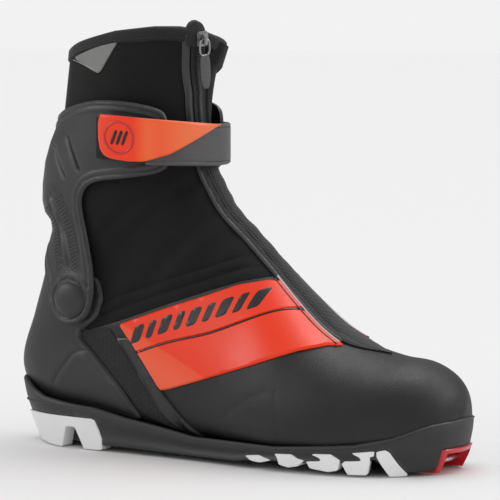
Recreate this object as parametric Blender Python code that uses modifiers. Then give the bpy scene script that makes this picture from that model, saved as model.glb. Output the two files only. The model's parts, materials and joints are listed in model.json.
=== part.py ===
"""Cross country skate boot (right foot), built as separate sub-parts.

Frame: +X to the toe, +Y to the medial (inner) side, +Z up, origin on the ground under the
middle of the boot. Lengths in this file are millimetres, and MM turns them into metres.

The soft boot is drawn on one body form: cross sections run from the front ridge line
(instep, shin) to the back line (sole, heel, calf), and each sub-part is a layer on that form.
"""
import math

import bmesh
import bpy
import numpy as np
from mathutils import Matrix, Vector

MM = 0.001
GAP = 0.3                       # clearance between pieces that touch
LAYER_GAP = 0.7                 # clearance between curved layers of the upper

# Driving dimensions
PIVOT = (-94.0, 91.0)           # cuff pivot axis, side view (x, z)
FIXED_REAR_RADIUS = 46.0        # fixed lining stays inside this circle behind the pivot
MOVING_REAR_RADIUS = 48.5
FIXED_FRONT_RADIUS = 111.3      # fixed gaiter stays inside this circle in front of it
MOVING_FRONT_RADIUS = 112.1
CUFF_HALF_WIDTH = 40.5          # inner face of the cuff at its widest
CUFF_WALL = 2.5
CAP_RADIUS = 10.6
BAR_AXIS = (137.5, 6.5)         # binding bar, side view (x, z)
BAR_RADIUS = 2.0
NOTCH = (127.0, 165.0, -13.5, 22.5, -5.0, 15.0)     # toe notch: x, y, z ranges
SOLE_BOTTOM = 1.5
STRAP_PIN = (-50.0, 49.5)       # vertical pin that the strap turns on (x, y)
STRAP_WALL = 2.4
ZIP_TOP_U, ZIP_TOP_ANGLE = 17.94, 22.0
ZIP_LOW_U, ZIP_LOW_ANGLE = 16.08, 8.0

# Body form: front point (x, z), back point (x, z), half width, middle y,
# share of the way back where it is widest, roundness in front, roundness behind
SECTIONS = (
    ((151, 41), (151, 31), 6, 3, 0.55, 2.0, 2.2),
    ((149, 47), (149.5, 23), 13, 3, 0.60, 2.1, 3.0),
    ((144.5, 53), (145, 18.5), 22, 3.2, 0.62, 2.1, 3.5),
    ((136, 58.5), (137, 17), 31, 3.2, 0.66, 2.2, 4.0),
    ((123.5, 63), (124, 16), 40, 3, 0.70, 2.2, 4.5),
    ((107, 65), (106, 14.5), 46.5, 1.8, 0.72, 2.1, 5.0),
    ((89, 71.5), (86, 12), 49.5, 0.5, 0.72, 2.0, 5.0),
    ((70, 84), (62, 11), 49.5, -1, 0.72, 1.9, 5.0),
    ((50, 99), (34, 11), 46.5, -1, 0.72, 1.8, 5.0),
    ((31, 116), (2, 11.5), 42, 0, 0.70, 1.8, 4.5),
    ((13, 133), (-40, 14), 38.5, 0, 0.66, 1.8, 4.5),
    ((-2, 146), (-88, 20), 36.5, 0, 0.60, 1.9, 4.0),
    ((-11, 158), (-128, 23), 35.5, 0, 0.58, 2.0, 3.1),
    ((-19, 172), (-148, 42), 35.5, 0, 0.58, 2.0, 2.5),
    ((-22.5, 187), (-141, 70), 36.5, 0, 0.56, 2.0, 2.0),
    ((-23.5, 202), (-130, 106), 37.5, 0, 0.55, 2.0, 2.0),
    ((-22.5, 216), (-125.5, 143), 38, 0, 0.53, 2.0, 2.0),
    ((-19.5, 232), (-121.5, 186), 38, 0, 0.52, 2.0, 2.0),
    ((-14, 251), (-115.5, 242), 37, 0, 0.50, 2.0, 2.0),
)
TABLE = np.array([[*front, *back, *rest] for front, back, *rest in SECTIONS], float)
LAST_U = len(TABLE) - 1
LAST_FIXED_U = 15.6             # the fixed layers share one grid, so that they stay parallel
ROWS, COLUMNS = 20, 26
ROW_STEP = LAST_FIXED_U / (ROWS - 1)

# Sole outline seen from above (x, y), lateral side first (-Y), toe to heel and back
SOLE_PLAN = (
    (152, 3), (150, -10), (145, -20.5), (137, -29.5), (124, -38.5), (106, -46.5), (86, -51.5),
    (62, -53), (36, -49.5), (5, -44), (-35, -39.5), (-70, -37), (-100, -36), (-121, -32),
    (-137, -22), (-145, -8), (-145, 8), (-137, 22), (-121, 32), (-100, 36), (-70, 37),
    (-35, 39.5), (5, 43.5), (36, 47), (62, 50.5), (86, 51.5), (106, 49.5), (124, 44.5), (137, 36),
    (145, 27), (150, 16.5),
)
# Top edge of the sole, side view (x, z)
SOLE_TOP = ((170, 33), (153, 31), (144, 29), (126, 21.5), (106, 17), (56, 13), (-5, 13),
            (-36, 18), (-56, 20), (-79, 24.5), (-102, 25.5), (-138, 25), (-170, 25))
HEEL_TREAD_TOP = 19.0
HEEL_TREAD_FRONT = -76.0
HEEL_CORE_REAR = -121.0         # the black core inside the horseshoe of the heel tread
# White lugs, side view (x, z), closed outlines
HEEL_TREAD = ((-160, 19), (-93, 19), (-79, 16.5), (-75.5, 0), (-88, 0), (-94, 10.5),
              (-101, 10.5), (-106, 0), (-131, 0), (-146, 12), (-160, 14))
FOREFOOT_TREAD = (
    (31, 4.5), (37, 7), (49, 7.5), (55, 4.8), (58, 8), (70, 8.5), (75, 5), (78, 9.5), (91, 10),
    (97, 5.5), (102, 11.5), (118, 12), (127, 13.5), (134, 13.5), (140, 0.2), (129, 0.2),
    (123, 8.5), (119, 0.2), (106, 0.2), (99, 3), (92, 0.2), (78, 0.2), (73, 2.5), (69, 0.2),
    (58, 0.2), (54, 2.5), (49, 0.2), (38, 0.2), (31, 2.2),
)

# Outlines on the side of the boot (x, z)
ORANGE_LOW = ((-30.7, 38.8), (-0.5, 47.7), (35.4, 58.7), (62.7, 68.2), (75.7, 71.0), (87, 69.3))
ORANGE_TOP = ((-62.4, 76.8), (-24, 89.9), (-6, 95.8), (16, 103.4), (31, 106.1), (38.4, 105.6),
              (48.8, 96.1), (59.7, 87.5), (76.9, 75.7), (88.7, 70.4))
FACING_REAR = ((-66.5, 75.5), (-53, 59.5), (-38, 38), (-27, 23.5))
FACING_FRONT = ((-63.4, 76.2), (-49.6, 60), (-31.7, 38), (-19, 22.5))
MESH_REAR = ((-91.5, 69), (-76, 55), (-58, 38), (-44, 25))
MESH_FRONT = ((-67.4, 75.4), (-53.8, 59), (-38.9, 38), (-28, 23.8))
COUNTER = ((-160, 116), (-134, 115.5), (-120, 106.5), (-108, 104), (-88, 108), (-77, 103),
           (-73.5, 92), (-78, 80), (-93, 68.8), (-77, 54.4), (-59, 37.4), (-45.5, 20.6),
           (-56, 21), (-79, 25.5), (-102, 26.3), (-138, 25.8), (-170, 25.8), (-170, 116))
SPLIT_LINE = ((-190, 114), (-86, 72), (-62, 79), (-24, 92.2), (16, 105.7), (31, 108.5),
              (45, 110), (80, 130))
CUFF_OUTLINE = (
    (-28, 178), (-30, 170), (-37, 166.5), (-56, 164.5), (-75, 162.5), (-84, 158.5), (-87.5, 152),
    (-87, 141), (-82, 124), (-78, 108), (-77.5, 92), (-82, 80), (-94, 74.5), (-105, 78),
    (-112, 88), (-117, 104), (-126, 118), (-134, 122), (-160, 123.5), (-160, 193), (-124, 197),
    (-106, 205), (-88, 210), (-73, 212), (-53, 211), (-37, 208), (-31, 203),
)
# Cuff inner face, level by level: z, back x, roundness behind
CUFF_LEVELS = ((70, -131, 4.0), (100, -132.5, 4.0), (122, -132.5, 3.4), (137, -131.5, 2.9),
               (142, -135, 2.6), (148, -135.5, 2.6), (158, -135, 2.6), (172, -132.8, 2.45),
               (184, -128.8, 2.4), (192, -125.3, 2.4), (199, -122.8, 2.4), (214, -120.5, 2.4))
CUFF_MIDDLE_X = -68.0
CUFF_FRONT_X = -16.0
CUFF_FRONT_ROUNDNESS = 2.2
STRAP_MIDDLE = (-62.0, 0.0)
STRAP_HALF = (47.6, 46.2)       # inner face half length and half width, plan view
STRAP_ROUNDNESS = 2.3
STRAP_EDGES = ((-97, 203, 174), (-60, 200.5, 173), (0, 196.5, 171.5), (90, 196, 172),
               (105, 196, 172))   # angle round the leg, top z, bottom z

STRAP_PULL = ((-112, 212), (-112, 182), (-70, 181), (-66, 177), (-50, 174.5), (-31, 181),
              (-18, 190), (-8, 198), (-8, 212))
SLIDER_EYE = 6.9                # height of the pull's axis over the body form
CUFF_PIECES = ("cuff", "cuff_padding", "gaiter_upper", "collar_rim", "reflective_patch",
               "zipper_tape", "zipper_teeth", "pivot_bush_lateral", "pivot_bush_medial",
               "strap_pin", "strap_anchor", "hook_pad")

BLACK = (0.022, 0.022, 0.023)
SOFTSHELL = (0.016, 0.016, 0.018)
CUFF_GREY = (0.045, 0.046, 0.048)
ORANGE = (0.95, 0.13, 0.045)
STRAP_GREY = (0.085, 0.08, 0.08)
WHITE = (0.75, 0.75, 0.77)
RED = (0.72, 0.02, 0.03)
STEEL = (0.60, 0.60, 0.62)
REFLECTIVE = (0.20, 0.20, 0.19)


def start_scene():
    """Remove every object and make the two collections."""
    for old in list(bpy.data.objects):
        bpy.data.objects.remove(old, do_unlink=True)
    found = []
    for name in ("cross_country_boot", "cutters"):
        group = bpy.data.collections.new(name)
        bpy.context.scene.collection.children.link(group)
        found.append(group)
    return found


PARTS, CUTTERS = start_scene()


# Body form

def section(u):
    """The form's section values at station u, by a smooth curve through SECTIONS."""
    u = np.clip(np.asarray(u, float), 0, LAST_U)
    i = np.minimum(np.floor(u).astype(int), LAST_U - 1)
    t = (u - i)[..., None]
    a, b = TABLE[np.maximum(i - 1, 0)], TABLE[i]
    c, d = TABLE[i + 1], TABLE[np.minimum(i + 2, LAST_U)]
    return 0.5 * (2 * b + (c - a) * t + (2 * a - 5 * b + 4 * c - d) * t ** 2
                  + (3 * b - a - 3 * c + d) * t ** 3)


def form_point(u, angle):
    """Point on the form. angle is 0 on the front ridge, 90 lateral, 180 at the back."""
    u, angle = np.broadcast_arrays(np.asarray(u, float), np.radians(angle))
    fx, fz, bx, bz, half, middle, widest, front, back = np.moveaxis(section(u), -1, 0)
    power = np.where(np.cos(angle) > 0, front, back)
    along = np.abs(np.cos(angle)) ** (2 / power)
    across = np.sign(np.sin(angle)) * np.abs(np.sin(angle)) ** (2 / power)
    share = np.where(np.cos(angle) > 0, widest * (1 - along), widest + (1 - widest) * along)
    return np.stack([fx + (bx - fx) * share, middle - half * across, fz + (bz - fz) * share], -1)


def form_normal(u, angle):
    """Outward unit normal of the form, from points close by."""
    step_u = form_point(np.minimum(u + 0.02, LAST_U), angle) - form_point(u - 0.02, angle)
    step_a = form_point(u, angle + 1.0) - form_point(u, angle - 1.0)
    normal = np.cross(step_a, step_u)
    normal /= np.linalg.norm(normal, axis=-1, keepdims=True) + 1e-12
    fx, fz, bx, bz, _, middle, *_ = np.moveaxis(section(u), -1, 0)
    centre = np.stack([(fx + bx) / 2, middle, (fz + bz) / 2], -1)
    centre = np.broadcast_to(centre, normal.shape)
    outward = np.sum((form_point(u, angle) - centre) * normal, axis=-1, keepdims=True)
    return normal * np.where(outward < 0, -1.0, 1.0)


def on_form(u, angle, offset):
    """Point at a distance outside the form."""
    return form_point(u, angle) + form_normal(u, angle) * np.asarray(offset)[..., None]


def locate(x, z):
    """Station and angle of the lateral point with this side-view position."""
    trial = np.linspace(0, LAST_U, 1200)
    fx, fz, bx, bz, _, _, widest, front, back = np.moveaxis(section(trial), -1, 0)
    side = (bx - fx) * (z - fz) - (bz - fz) * (x - fx)
    share = ((x - fx) * (bx - fx) + (z - fz) * (bz - fz)) / ((bx - fx) ** 2 + (bz - fz) ** 2)
    change = np.nonzero((side[:-1] * side[1:] <= 0) & (share[:-1] > -0.2) & (share[:-1] < 1.2))[0]
    k = change[0]
    u = trial[k] + (trial[k + 1] - trial[k]) * side[k] / (side[k] - side[k + 1])
    share = np.clip(share[k], 0.0, 1.0)
    widest, front, back = section(u)[6:9]
    if share < widest:
        return u, math.degrees(math.acos(((widest - share) / widest) ** (front / 2)))
    return u, 180 - math.degrees(math.acos(((share - widest) / (1 - widest)) ** (back / 2)))


def spaced(points, count):
    """Points at equal steps along a polyline."""
    points = np.array(points, float)
    run = np.concatenate([[0], np.cumsum(np.linalg.norm(np.diff(points, axis=0), axis=1))])
    steps = np.linspace(0, run[-1], count)
    return np.stack([np.interp(steps, run, column) for column in points.T], -1)


def smooth_loop(points, steps=2):
    """Closed smooth curve through the points, with extra points between them."""
    points = np.array(points, float)
    before, after, beyond = (np.roll(points, k, axis=0) for k in (1, -1, -2))
    out = []
    for t in np.arange(steps) / steps:
        out.append(0.5 * (2 * points + (after - before) * t
                          + (2 * before - 5 * points + 4 * after - beyond) * t ** 2
                          + (3 * points - before - 3 * after + beyond) * t ** 3))
    return np.stack(out, axis=1).reshape(-1, points.shape[1])


def arc(centre, radius, start, end, count):
    """Points on a circle, angles in degrees."""
    angles = np.radians(np.linspace(start, end, count))
    return [(centre[0] + radius * math.cos(a), centre[1] + radius * math.sin(a)) for a in angles]


# Objects and materials

def material(name, colour, roughness, metallic=0.0):
    made = bpy.data.materials.new(name)
    made.use_nodes = True
    shader = made.node_tree.nodes["Principled BSDF"]
    shader.inputs["Base Color"].default_value = (*colour, 1.0)
    shader.inputs["Roughness"].default_value = roughness
    shader.inputs["Metallic"].default_value = metallic
    return made


def add_object(name, mesh, colour=None, roughness=0.6, metallic=0.0):
    """Put a mesh in the scene as a part, or as a cutter when it has no colour."""
    obj = bpy.data.objects.new(name, mesh)
    if colour is None:
        CUTTERS.objects.link(obj)
        obj.hide_render = True
        obj.display_type = 'WIRE'
        return obj
    PARTS.objects.link(obj)
    mesh.materials.append(material(name, colour, roughness, metallic))
    mesh.shade_smooth()
    mesh.set_sharp_from_angle(angle=math.radians(35))
    return obj


def mesh_from(name, corners, faces):
    """Mesh from corner positions in millimetres, with its faces turned outward."""
    mesh = bpy.data.meshes.new(name)
    mesh.from_pydata([tuple(float(v) * MM for v in corner) for corner in corners], [], faces)
    work = bmesh.new()
    work.from_mesh(mesh)
    bmesh.ops.recalc_face_normals(work, faces=work.faces)
    work.to_mesh(mesh)
    work.free()
    return mesh


def closed_slab(outer, inner, ring=False, capped=False):
    """Corners and faces of a wall between two grids of points.

    ring joins the last column to the first, capped closes the first row at its end.
    """
    rows, cols = outer.shape[:2]
    corners = np.concatenate([outer.reshape(-1, 3), inner.reshape(-1, 3)])
    shift = rows * cols
    across = cols if ring else cols - 1
    faces = []
    for r in range(rows - 1):
        for c in range(across):
            d = (c + 1) % cols
            quad = [r * cols + c, r * cols + d, (r + 1) * cols + d, (r + 1) * cols + c]
            faces.append(quad)
            faces.append([shift + k for k in reversed(quad)])
    for row in (0, rows - 1):
        if capped and row == 0:
            faces.append(list(range(cols)))
            faces.append([shift + k for k in range(cols)])
            continue
        for c in range(across):
            d = (c + 1) % cols
            faces.append([row * cols + c, row * cols + d, shift + row * cols + d,
                          shift + row * cols + c])
    if not ring:
        for c in (0, cols - 1):
            for r in range(rows - 1):
                faces.append([r * cols + c, (r + 1) * cols + c, shift + (r + 1) * cols + c,
                              shift + r * cols + c])
    return corners, faces


def layer(name, stations, angles, inner, outer, look=(), ring=False, capped=False):
    """Layer on the form over a grid of stations and angles."""
    grid_u, grid_a = np.broadcast_arrays(np.asarray(stations, float), np.asarray(angles, float))
    walls = [on_form(grid_u, grid_a, np.full(grid_u.shape, depth)) for depth in (outer, inner)]
    return add_object(name, mesh_from(name, *closed_slab(*walls, ring, capped)), *look)


def sock(name, first, last, rows, cols, inner, outer, look=()):
    """Closed-toed tube from station first to last."""
    stations = np.linspace(first, last, rows)[:, None]
    angles = np.linspace(0, 360, cols, endpoint=False)[None, :]
    return layer(name, stations, angles, inner, outer, look, ring=True, capped=True)


def band(name, first, last, rows, cols, inner, outer, look=()):
    """Open tube from station first to last."""
    stations = np.linspace(first, last, rows)[:, None]
    angles = np.linspace(0, 360, cols, endpoint=False)[None, :]
    return layer(name, stations, angles, inner, outer, look, ring=True)


def side_panel(name, low, top, side, inner, outer, look, rows=4, cols=14):
    """Panel between two side-view lines. side is 1 lateral, -1 medial."""
    low, top = spaced(low, cols), spaced(top, cols)
    share = np.linspace(0, 1, rows)[:, None, None]
    grid = low * (1 - share) + top * share
    found = np.array([[locate(*point) for point in row] for row in grid])
    return layer(name, found[..., 0], side * found[..., 1], inner, outer, look)


def outline_mesh(name, outline, depth):
    """Flat outline as a filled 2D curve, extruded both ways and made a mesh."""
    curve = bpy.data.curves.new(name, 'CURVE')
    curve.dimensions = '2D'
    curve.fill_mode = 'BOTH'
    curve.extrude = depth / 2 * MM
    spline = curve.splines.new('POLY')
    spline.points.add(len(outline) - 1)
    for point, (across, up) in zip(spline.points, outline):
        point.co = (across * MM, up * MM, 0.0, 1.0)
    spline.use_cyclic_u = True
    holder = bpy.data.objects.new(name, curve)
    bpy.context.scene.collection.objects.link(holder)
    bpy.context.view_layer.update()
    seen = holder.evaluated_get(bpy.context.evaluated_depsgraph_get())
    mesh = bpy.data.meshes.new_from_object(seen)
    bpy.data.objects.remove(holder, do_unlink=True)
    bpy.data.curves.remove(curve)
    work = bmesh.new()
    work.from_mesh(mesh)
    bmesh.ops.remove_doubles(work, verts=work.verts, dist=0.00001)
    bmesh.ops.recalc_face_normals(work, faces=work.faces)
    work.to_mesh(mesh)
    work.free()
    return mesh


def side_prism(name, outline, y_low, y_high, look=()):
    """Side-view outline (x, z) extruded across the boot."""
    mesh = outline_mesh(name, outline, y_high - y_low)
    turn = Matrix.Rotation(math.radians(90), 4, 'X')
    mesh.transform(Matrix.Translation((0, (y_low + y_high) / 2 * MM, 0)) @ turn)
    return add_object(name, mesh, *look)


def plan_prism(name, outline, z_low, z_high, look=()):
    """Plan-view outline (x, y) extruded upward."""
    mesh = outline_mesh(name, outline, z_high - z_low)
    mesh.transform(Matrix.Translation((0, 0, (z_low + z_high) / 2 * MM)))
    return add_object(name, mesh, *look)


def block(name, ranges, look=(), bevel=0.0):
    """Box from its x, y and z ranges, with rounded edges."""
    low, high = np.array(ranges[0::2], float), np.array(ranges[1::2], float)
    mesh = bpy.data.meshes.new(name)
    work = bmesh.new()
    bmesh.ops.create_cube(work, size=1.0)
    bmesh.ops.scale(work, vec=tuple((high - low) * MM), verts=work.verts)
    bmesh.ops.translate(work, vec=tuple((high + low) / 2 * MM), verts=work.verts)
    if bevel:
        bmesh.ops.bevel(work, geom=work.edges, offset=bevel * MM, segments=2, affect='EDGES')
    work.to_mesh(mesh)
    work.free()
    return add_object(name, mesh, *look)


def rod(name, centre, radius, start, end, axis, look=(), sides=24):
    """Cylinder along Y or Z between two coordinates. centre is in the other two axes."""
    mesh = bpy.data.meshes.new(name)
    work = bmesh.new()
    bmesh.ops.create_cone(work, cap_ends=True, segments=sides, radius1=radius * MM,
                          radius2=radius * MM, depth=(end - start) * MM)
    middle = (start + end) / 2
    if axis == 'Y':
        turn = Matrix.Rotation(math.radians(90), 4, 'X')
        move = Vector((centre[0], middle, centre[1])) * MM
    else:
        turn = Matrix.Identity(4)
        move = Vector((centre[0], centre[1], middle)) * MM
    work.transform(Matrix.Translation(move) @ turn)
    work.to_mesh(mesh)
    work.free()
    return add_object(name, mesh, *look)


def combine(obj, cutter, operation):
    """Exact Boolean between a part and a cutter."""
    cut = obj.modifiers.new(operation.lower() + "_" + cutter.name, 'BOOLEAN')
    cut.operation = operation
    cut.solver = 'EXACT'
    cut.object = cutter
    return obj


def bake(obj):
    """Turn an object with its modifiers into a plain mesh, to be used as a cutter."""
    bpy.context.view_layer.update()
    seen = obj.evaluated_get(bpy.context.evaluated_depsgraph_get())
    mesh = bpy.data.meshes.new_from_object(seen)
    obj.modifiers.clear()
    obj.data = mesh
    return obj


def turned(name, profile, side, look):
    """Turned piece on the pivot axis. profile is (radius, distance from the middle plane)."""
    mesh = bpy.data.meshes.new(name)
    points = [(radius * MM, 0.0, height * MM) for radius, height in profile]
    mesh.from_pydata(points, [(k, k + 1) for k in range(len(points) - 1)], [])
    obj = add_object(name, mesh, *look)
    screw = obj.modifiers.new("turn", 'SCREW')
    screw.steps = screw.render_steps = 20
    screw.use_merge_vertices = True
    screw.merge_threshold = 0.00001
    screw.use_smooth_shade = True
    obj.location = (PIVOT[0] * MM, 0.0, PIVOT[1] * MM)
    obj.rotation_euler = (math.radians(90 if side > 0 else -90), 0.0, 0.0)
    return obj


# Regions that keep fixed and moving layers apart

def polar_line(radius, angle):
    return (PIVOT[0] + radius * math.cos(math.radians(angle)),
            PIVOT[1] + radius * math.sin(math.radians(angle)))


def fixed_region():
    """Side-view region of the pieces that stay with the boot."""
    outline = [polar_line(90, 146)]
    outline += arc(PIVOT, FIXED_REAR_RADIUS, 146, 74, 14)
    outline += arc(PIVOT, FIXED_FRONT_RADIUS, 74, 40, 14)
    outline += [(180, 190), (180, -40), (-190, -40), (-190, 120)]
    return side_prism("fixed_region", outline, -80, 80)


def softshell_region():
    """Side-view region of the thin gaiter wall between the cuff and the instep."""
    outline = [(-86, 60), (-86, 147), (-80, 159), (-70, 168), (-52, 172)]
    outline += arc(PIVOT, FIXED_FRONT_RADIUS, 56, 40, 8)
    outline += [(180, 190), (180, 60)]
    return side_prism("softshell_region", outline, -80, 80)


def below_split():
    """Everything under the line where the gaiter wall is sewn to the shoe."""
    outline = [(x, z - GAP / 2) for x, z in SPLIT_LINE] + [(180, 150), (180, -40), (-190, -40)]
    return side_prism("below_split", outline, -80, 80)


def above_split():
    outline = [(x, z + GAP / 2) for x, z in SPLIT_LINE] + [(120, 260), (-190, 260)]
    return side_prism("above_split", outline, -80, 80)


def rear_sector():
    """Side-view region of the cuff's lining."""
    outline = arc(PIVOT, MOVING_REAR_RADIUS, 139, 92, 10)
    outline += [polar_line(124, 92), (-110, 203), (-122, 195), (-150, 190), polar_line(80, 139)]
    return side_prism("rear_sector", outline, -80, 80)


def collar_region():
    """Everything above the arc where the upper gaiter meets the fixed gaiter."""
    outline = arc(PIVOT, MOVING_FRONT_RADIUS, 20, 92, 20)
    outline += [(-98, 192), (-190, 186), (-190, 300), (60, 300)]
    return side_prism("collar_region", outline, -80, 80)


# Sole

def inset_plan(distance):
    """Sole outline moved inward by a distance, or outward when it is negative."""
    outline = smooth_loop(SOLE_PLAN)
    forward = np.roll(outline, -1, axis=0) - np.roll(outline, 1, axis=0)
    normal = np.stack([-forward[:, 1], forward[:, 0]], -1)
    normal /= np.linalg.norm(normal, axis=1, keepdims=True)
    x, y = outline.T
    turning = np.sum(x * np.roll(y, -1) - np.roll(x, -1) * y)
    return outline + normal * distance * np.sign(turning)


def core_outline(first_x, last_x, distance):
    """Part of the inset sole outline between two cross cuts."""
    outline = inset_plan(distance)
    clipped = outline.copy()
    clipped[:, 0] = np.clip(clipped[:, 0], first_x, last_x)
    keep = np.linalg.norm(clipped - np.roll(clipped, 1, axis=0), axis=1) > 0.05
    return clipped[keep]


def side_strip(outline, low):
    """Close a side-view line with a level edge under it."""
    return list(outline) + [(outline[-1][0], low), (outline[0][0], low)]


def add_outsole():
    """Black sole: frame, heel core and the cup that holds the upper."""
    sole = plan_prism("outsole", inset_plan(0), SOLE_BOTTOM, 45, (BLACK, 0.55))
    combine(sole, side_prism("sole_top", side_strip(SOLE_TOP, -20), -80, 80), 'INTERSECT')
    combine(sole, sock("foot_form", 0.0, LAST_FIXED_U, ROWS, COLUMNS, -12.0, GAP), 'DIFFERENCE')
    combine(sole, bake(heel_ring(GAP)), 'DIFFERENCE')
    for side in (1, -1):
        combine(sole, bake(tread_strip("tread_seat", side, GAP)), 'DIFFERENCE')
    combine(sole, block("notch_cut", NOTCH), 'DIFFERENCE')
    combine(sole, block("shank_seat", (-32.5, 100.5, -18.5, 18.5, 7.4, 30)), 'DIFFERENCE')
    for y_low, y_high in ((-12.5, -7.5), (7.5, 12.5)):
        combine(sole, block("guide_groove", (20, 112, y_low, y_high, -2, 3.6)), 'DIFFERENCE')


def heel_ring(extra, look=()):
    """Horseshoe of the heel tread, or its seat in the sole when extra is above 0."""
    name = "heel_seat" if extra else "heel_tread"
    front = HEEL_TREAD_FRONT + (2 if extra else 0)
    rise = 4 if extra else 0
    if extra:
        outline = [(-160, HEEL_TREAD_TOP + extra), (-93, HEEL_TREAD_TOP + extra),
                   (-79, 16.5 + extra), (-75.3, 0), (-75.3, -rise), (-160, -rise)]
    else:
        outline = HEEL_TREAD
    ring = side_prism(name, outline, -80, 80, look)
    edge = plan_prism(name + "_edge", inset_plan(-3 if extra else -0.8), -9, 60)
    combine(ring, edge, 'INTERSECT')
    core = core_outline(HEEL_CORE_REAR + extra, front + 30, 10.0 + extra)
    combine(ring, plan_prism(name + "_core", core, -9, 60), 'DIFFERENCE')
    return ring


def tread_strip(name, side, extra, look=()):
    """White forefoot lugs along one edge of the sole, or their seat."""
    outline = FOREFOOT_TREAD
    if extra:
        outline = ((30.5, -5), (30.5, 7.6), (50, 8.2), (55, 8.6), (78, 10), (92, 10.4),
                   (97, 12.2), (118, 12.6), (127, 14), (135, 14), (144, -5))
    if side > 0:
        strip = side_prism(name, outline, -80, -20 + extra, look)
    else:
        strip = side_prism(name, outline, 28 - extra, 80, look)
    edge = plan_prism(name + "_edge", inset_plan(-3 if extra else -0.8), -9, 60)
    combine(strip, edge, 'INTERSECT')
    core = core_outline(-60, 160, 9.0 + extra)
    combine(strip, plan_prism(name + "_core", core, -9, 60), 'DIFFERENCE')
    return strip


def add_treads():
    heel_ring(0, (WHITE, 0.45))
    tread_strip("forefoot_tread_lateral", 1, 0, (WHITE, 0.45))
    tread_strip("forefoot_tread_medial", -1, 0, (WHITE, 0.45))


def add_toe_fitting():
    """Red insert in the toe notch with the steel bar that the binding grips."""
    x_low, _, y_low, y_high, _, top = NOTCH
    insert = block("toe_insert", (x_low + GAP, 160, y_low + GAP, y_high - GAP, 1.0, top - GAP),
                   (RED, 0.4))
    combine(insert, plan_prism("insert_edge", inset_plan(0.5), -9, 60), 'INTERSECT')
    combine(insert, block("insert_hollow", (x_low + 3, 170, y_low + 3, y_high - 3, -5, top - 3)),
            'DIFFERENCE')
    combine(insert, rod("bar_bore", BAR_AXIS, BAR_RADIUS + GAP, -60, 60, 'Y'), 'DIFFERENCE')
    rod("binding_bar", BAR_AXIS, BAR_RADIUS, y_low + 0.6, y_high - 0.6, 'Y', (STEEL, 0.25, 1.0))


def add_shank():
    block("shank", (-32, 100, -18, 18, 7.8, 9.6), (BLACK, 0.35), 0.4)


# Upper

def add_upper():
    """Shoe upper and gaiter wall, parted along their seam and at the lace throat."""
    throat = layer("throat", np.linspace(6.3, 15.6, 16)[:, None],
                   np.linspace(-16, 16, 7)[None, :], -2.2, 4.0)
    vamp = sock("vamp", 0.0, LAST_FIXED_U, ROWS, COLUMNS, -1.4, 0.0, (BLACK, 0.5))
    combine(vamp, below_split(), 'INTERSECT')
    combine(vamp, fixed_region(), 'INTERSECT')
    combine(vamp, throat, 'DIFFERENCE')
    above, region = above_split(), softshell_region()
    for side, word in ((1, "lateral"), (-1, "medial")):
        angles = side * np.array([16.3] + [360 / COLUMNS * k for k in range(2, 10)])
        gaiter = layer("gaiter_lower_" + word, ROW_STEP * np.arange(9, ROWS)[:, None],
                       angles[None, :], -1.4, 0.0, (SOFTSHELL, 0.85))
        combine(gaiter, above, 'INTERSECT')
        combine(gaiter, region, 'INTERSECT')


def add_throat_pieces():
    """Tongue, the two eyestays for the lace and the cover over them."""
    layer("tongue", np.linspace(6.45, 12.7, 14)[:, None], np.linspace(-15.2, 15.2, 5)[None, :],
          -1.4, 0.0, (SOFTSHELL, 0.85))
    for name, side in (("eyestay_lateral", 1), ("eyestay_medial", -1)):
        layer(name, np.linspace(7.0, 11.6, 12)[:, None],
              side * np.linspace(9.0, 14.0, 2)[None, :], 0.5, 1.3, (BLACK, 0.7))
    layer("lace_cover", np.linspace(5.8, 12.3, 14)[:, None], np.linspace(-15, 15, 7)[None, :],
          1.9, 3.1, (SOFTSHELL, 0.6))


def add_lining():
    """Padded inner boot and the footbed inside it."""
    boot = sock("inner_boot", ROW_STEP, LAST_FIXED_U, ROWS - 1, COLUMNS, -5.4, -2.5,
                (SOFTSHELL, 0.95))
    combine(boot, bpy.data.objects["fixed_region"], 'INTERSECT')
    layer("footbed", np.linspace(2.6, 11.2, 11)[:, None], np.linspace(142, 218, 7)[None, :],
          -9.5, -7.0, (CUFF_GREY, 0.9))


def add_overlays():
    """Heel counter and the panels stitched to the sides of the shoe."""
    counter = band("heel_counter", 11 * ROW_STEP, LAST_FIXED_U, ROWS - 11, COLUMNS,
                   LAYER_GAP, 2.4, (CUFF_GREY, 0.5))
    combine(counter, side_prism("counter_outline", COUNTER, -80, 80), 'INTERSECT')
    for side, word in ((1, "lateral"), (-1, "medial")):
        side_panel("quarter_panel_" + word, ORANGE_LOW, ORANGE_TOP, side, LAYER_GAP, 1.7,
                   (ORANGE, 0.3), rows=5, cols=16)
        side_panel("facing_" + word, FACING_REAR, FACING_FRONT, side, LAYER_GAP, 1.9,
                   (BLACK, 0.5), rows=2, cols=7)
        side_panel("mesh_band_" + word, MESH_REAR, MESH_FRONT, side, LAYER_GAP, 1.5,
                   (BLACK, 0.8), rows=3, cols=7)


# Cuff

def cuff_wall(z, inset, turns):
    """Row of points round one level of the cuff, open at the front."""
    levels = np.array(CUFF_LEVELS)
    back = np.interp(z, levels[:, 0], levels[:, 1]) - inset
    power = np.interp(z, levels[:, 0], levels[:, 2])
    front = CUFF_FRONT_X + inset
    half = CUFF_HALF_WIDTH + inset
    row = []
    for angle in turns:
        c, s = math.cos(math.radians(angle)), math.sin(math.radians(angle))
        reach, p = (back - CUFF_MIDDLE_X, power) if c < 0 else (front - CUFF_MIDDLE_X,
                                                               CUFF_FRONT_ROUNDNESS)
        x = CUFF_MIDDLE_X + reach * abs(c) ** (2 / p)
        row.append((x, -half * math.copysign(abs(s) ** (2 / p), s), z))
    return row


def cuff_layer(name, levels, turns, inner, outer, look=()):
    """Layer on the cuff's own boxier form."""
    walls = [np.array([cuff_wall(z, depth, turns) for z in levels]) for depth in (outer, inner)]
    return add_object(name, mesh_from(name, *closed_slab(*walls)), *look)


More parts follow.
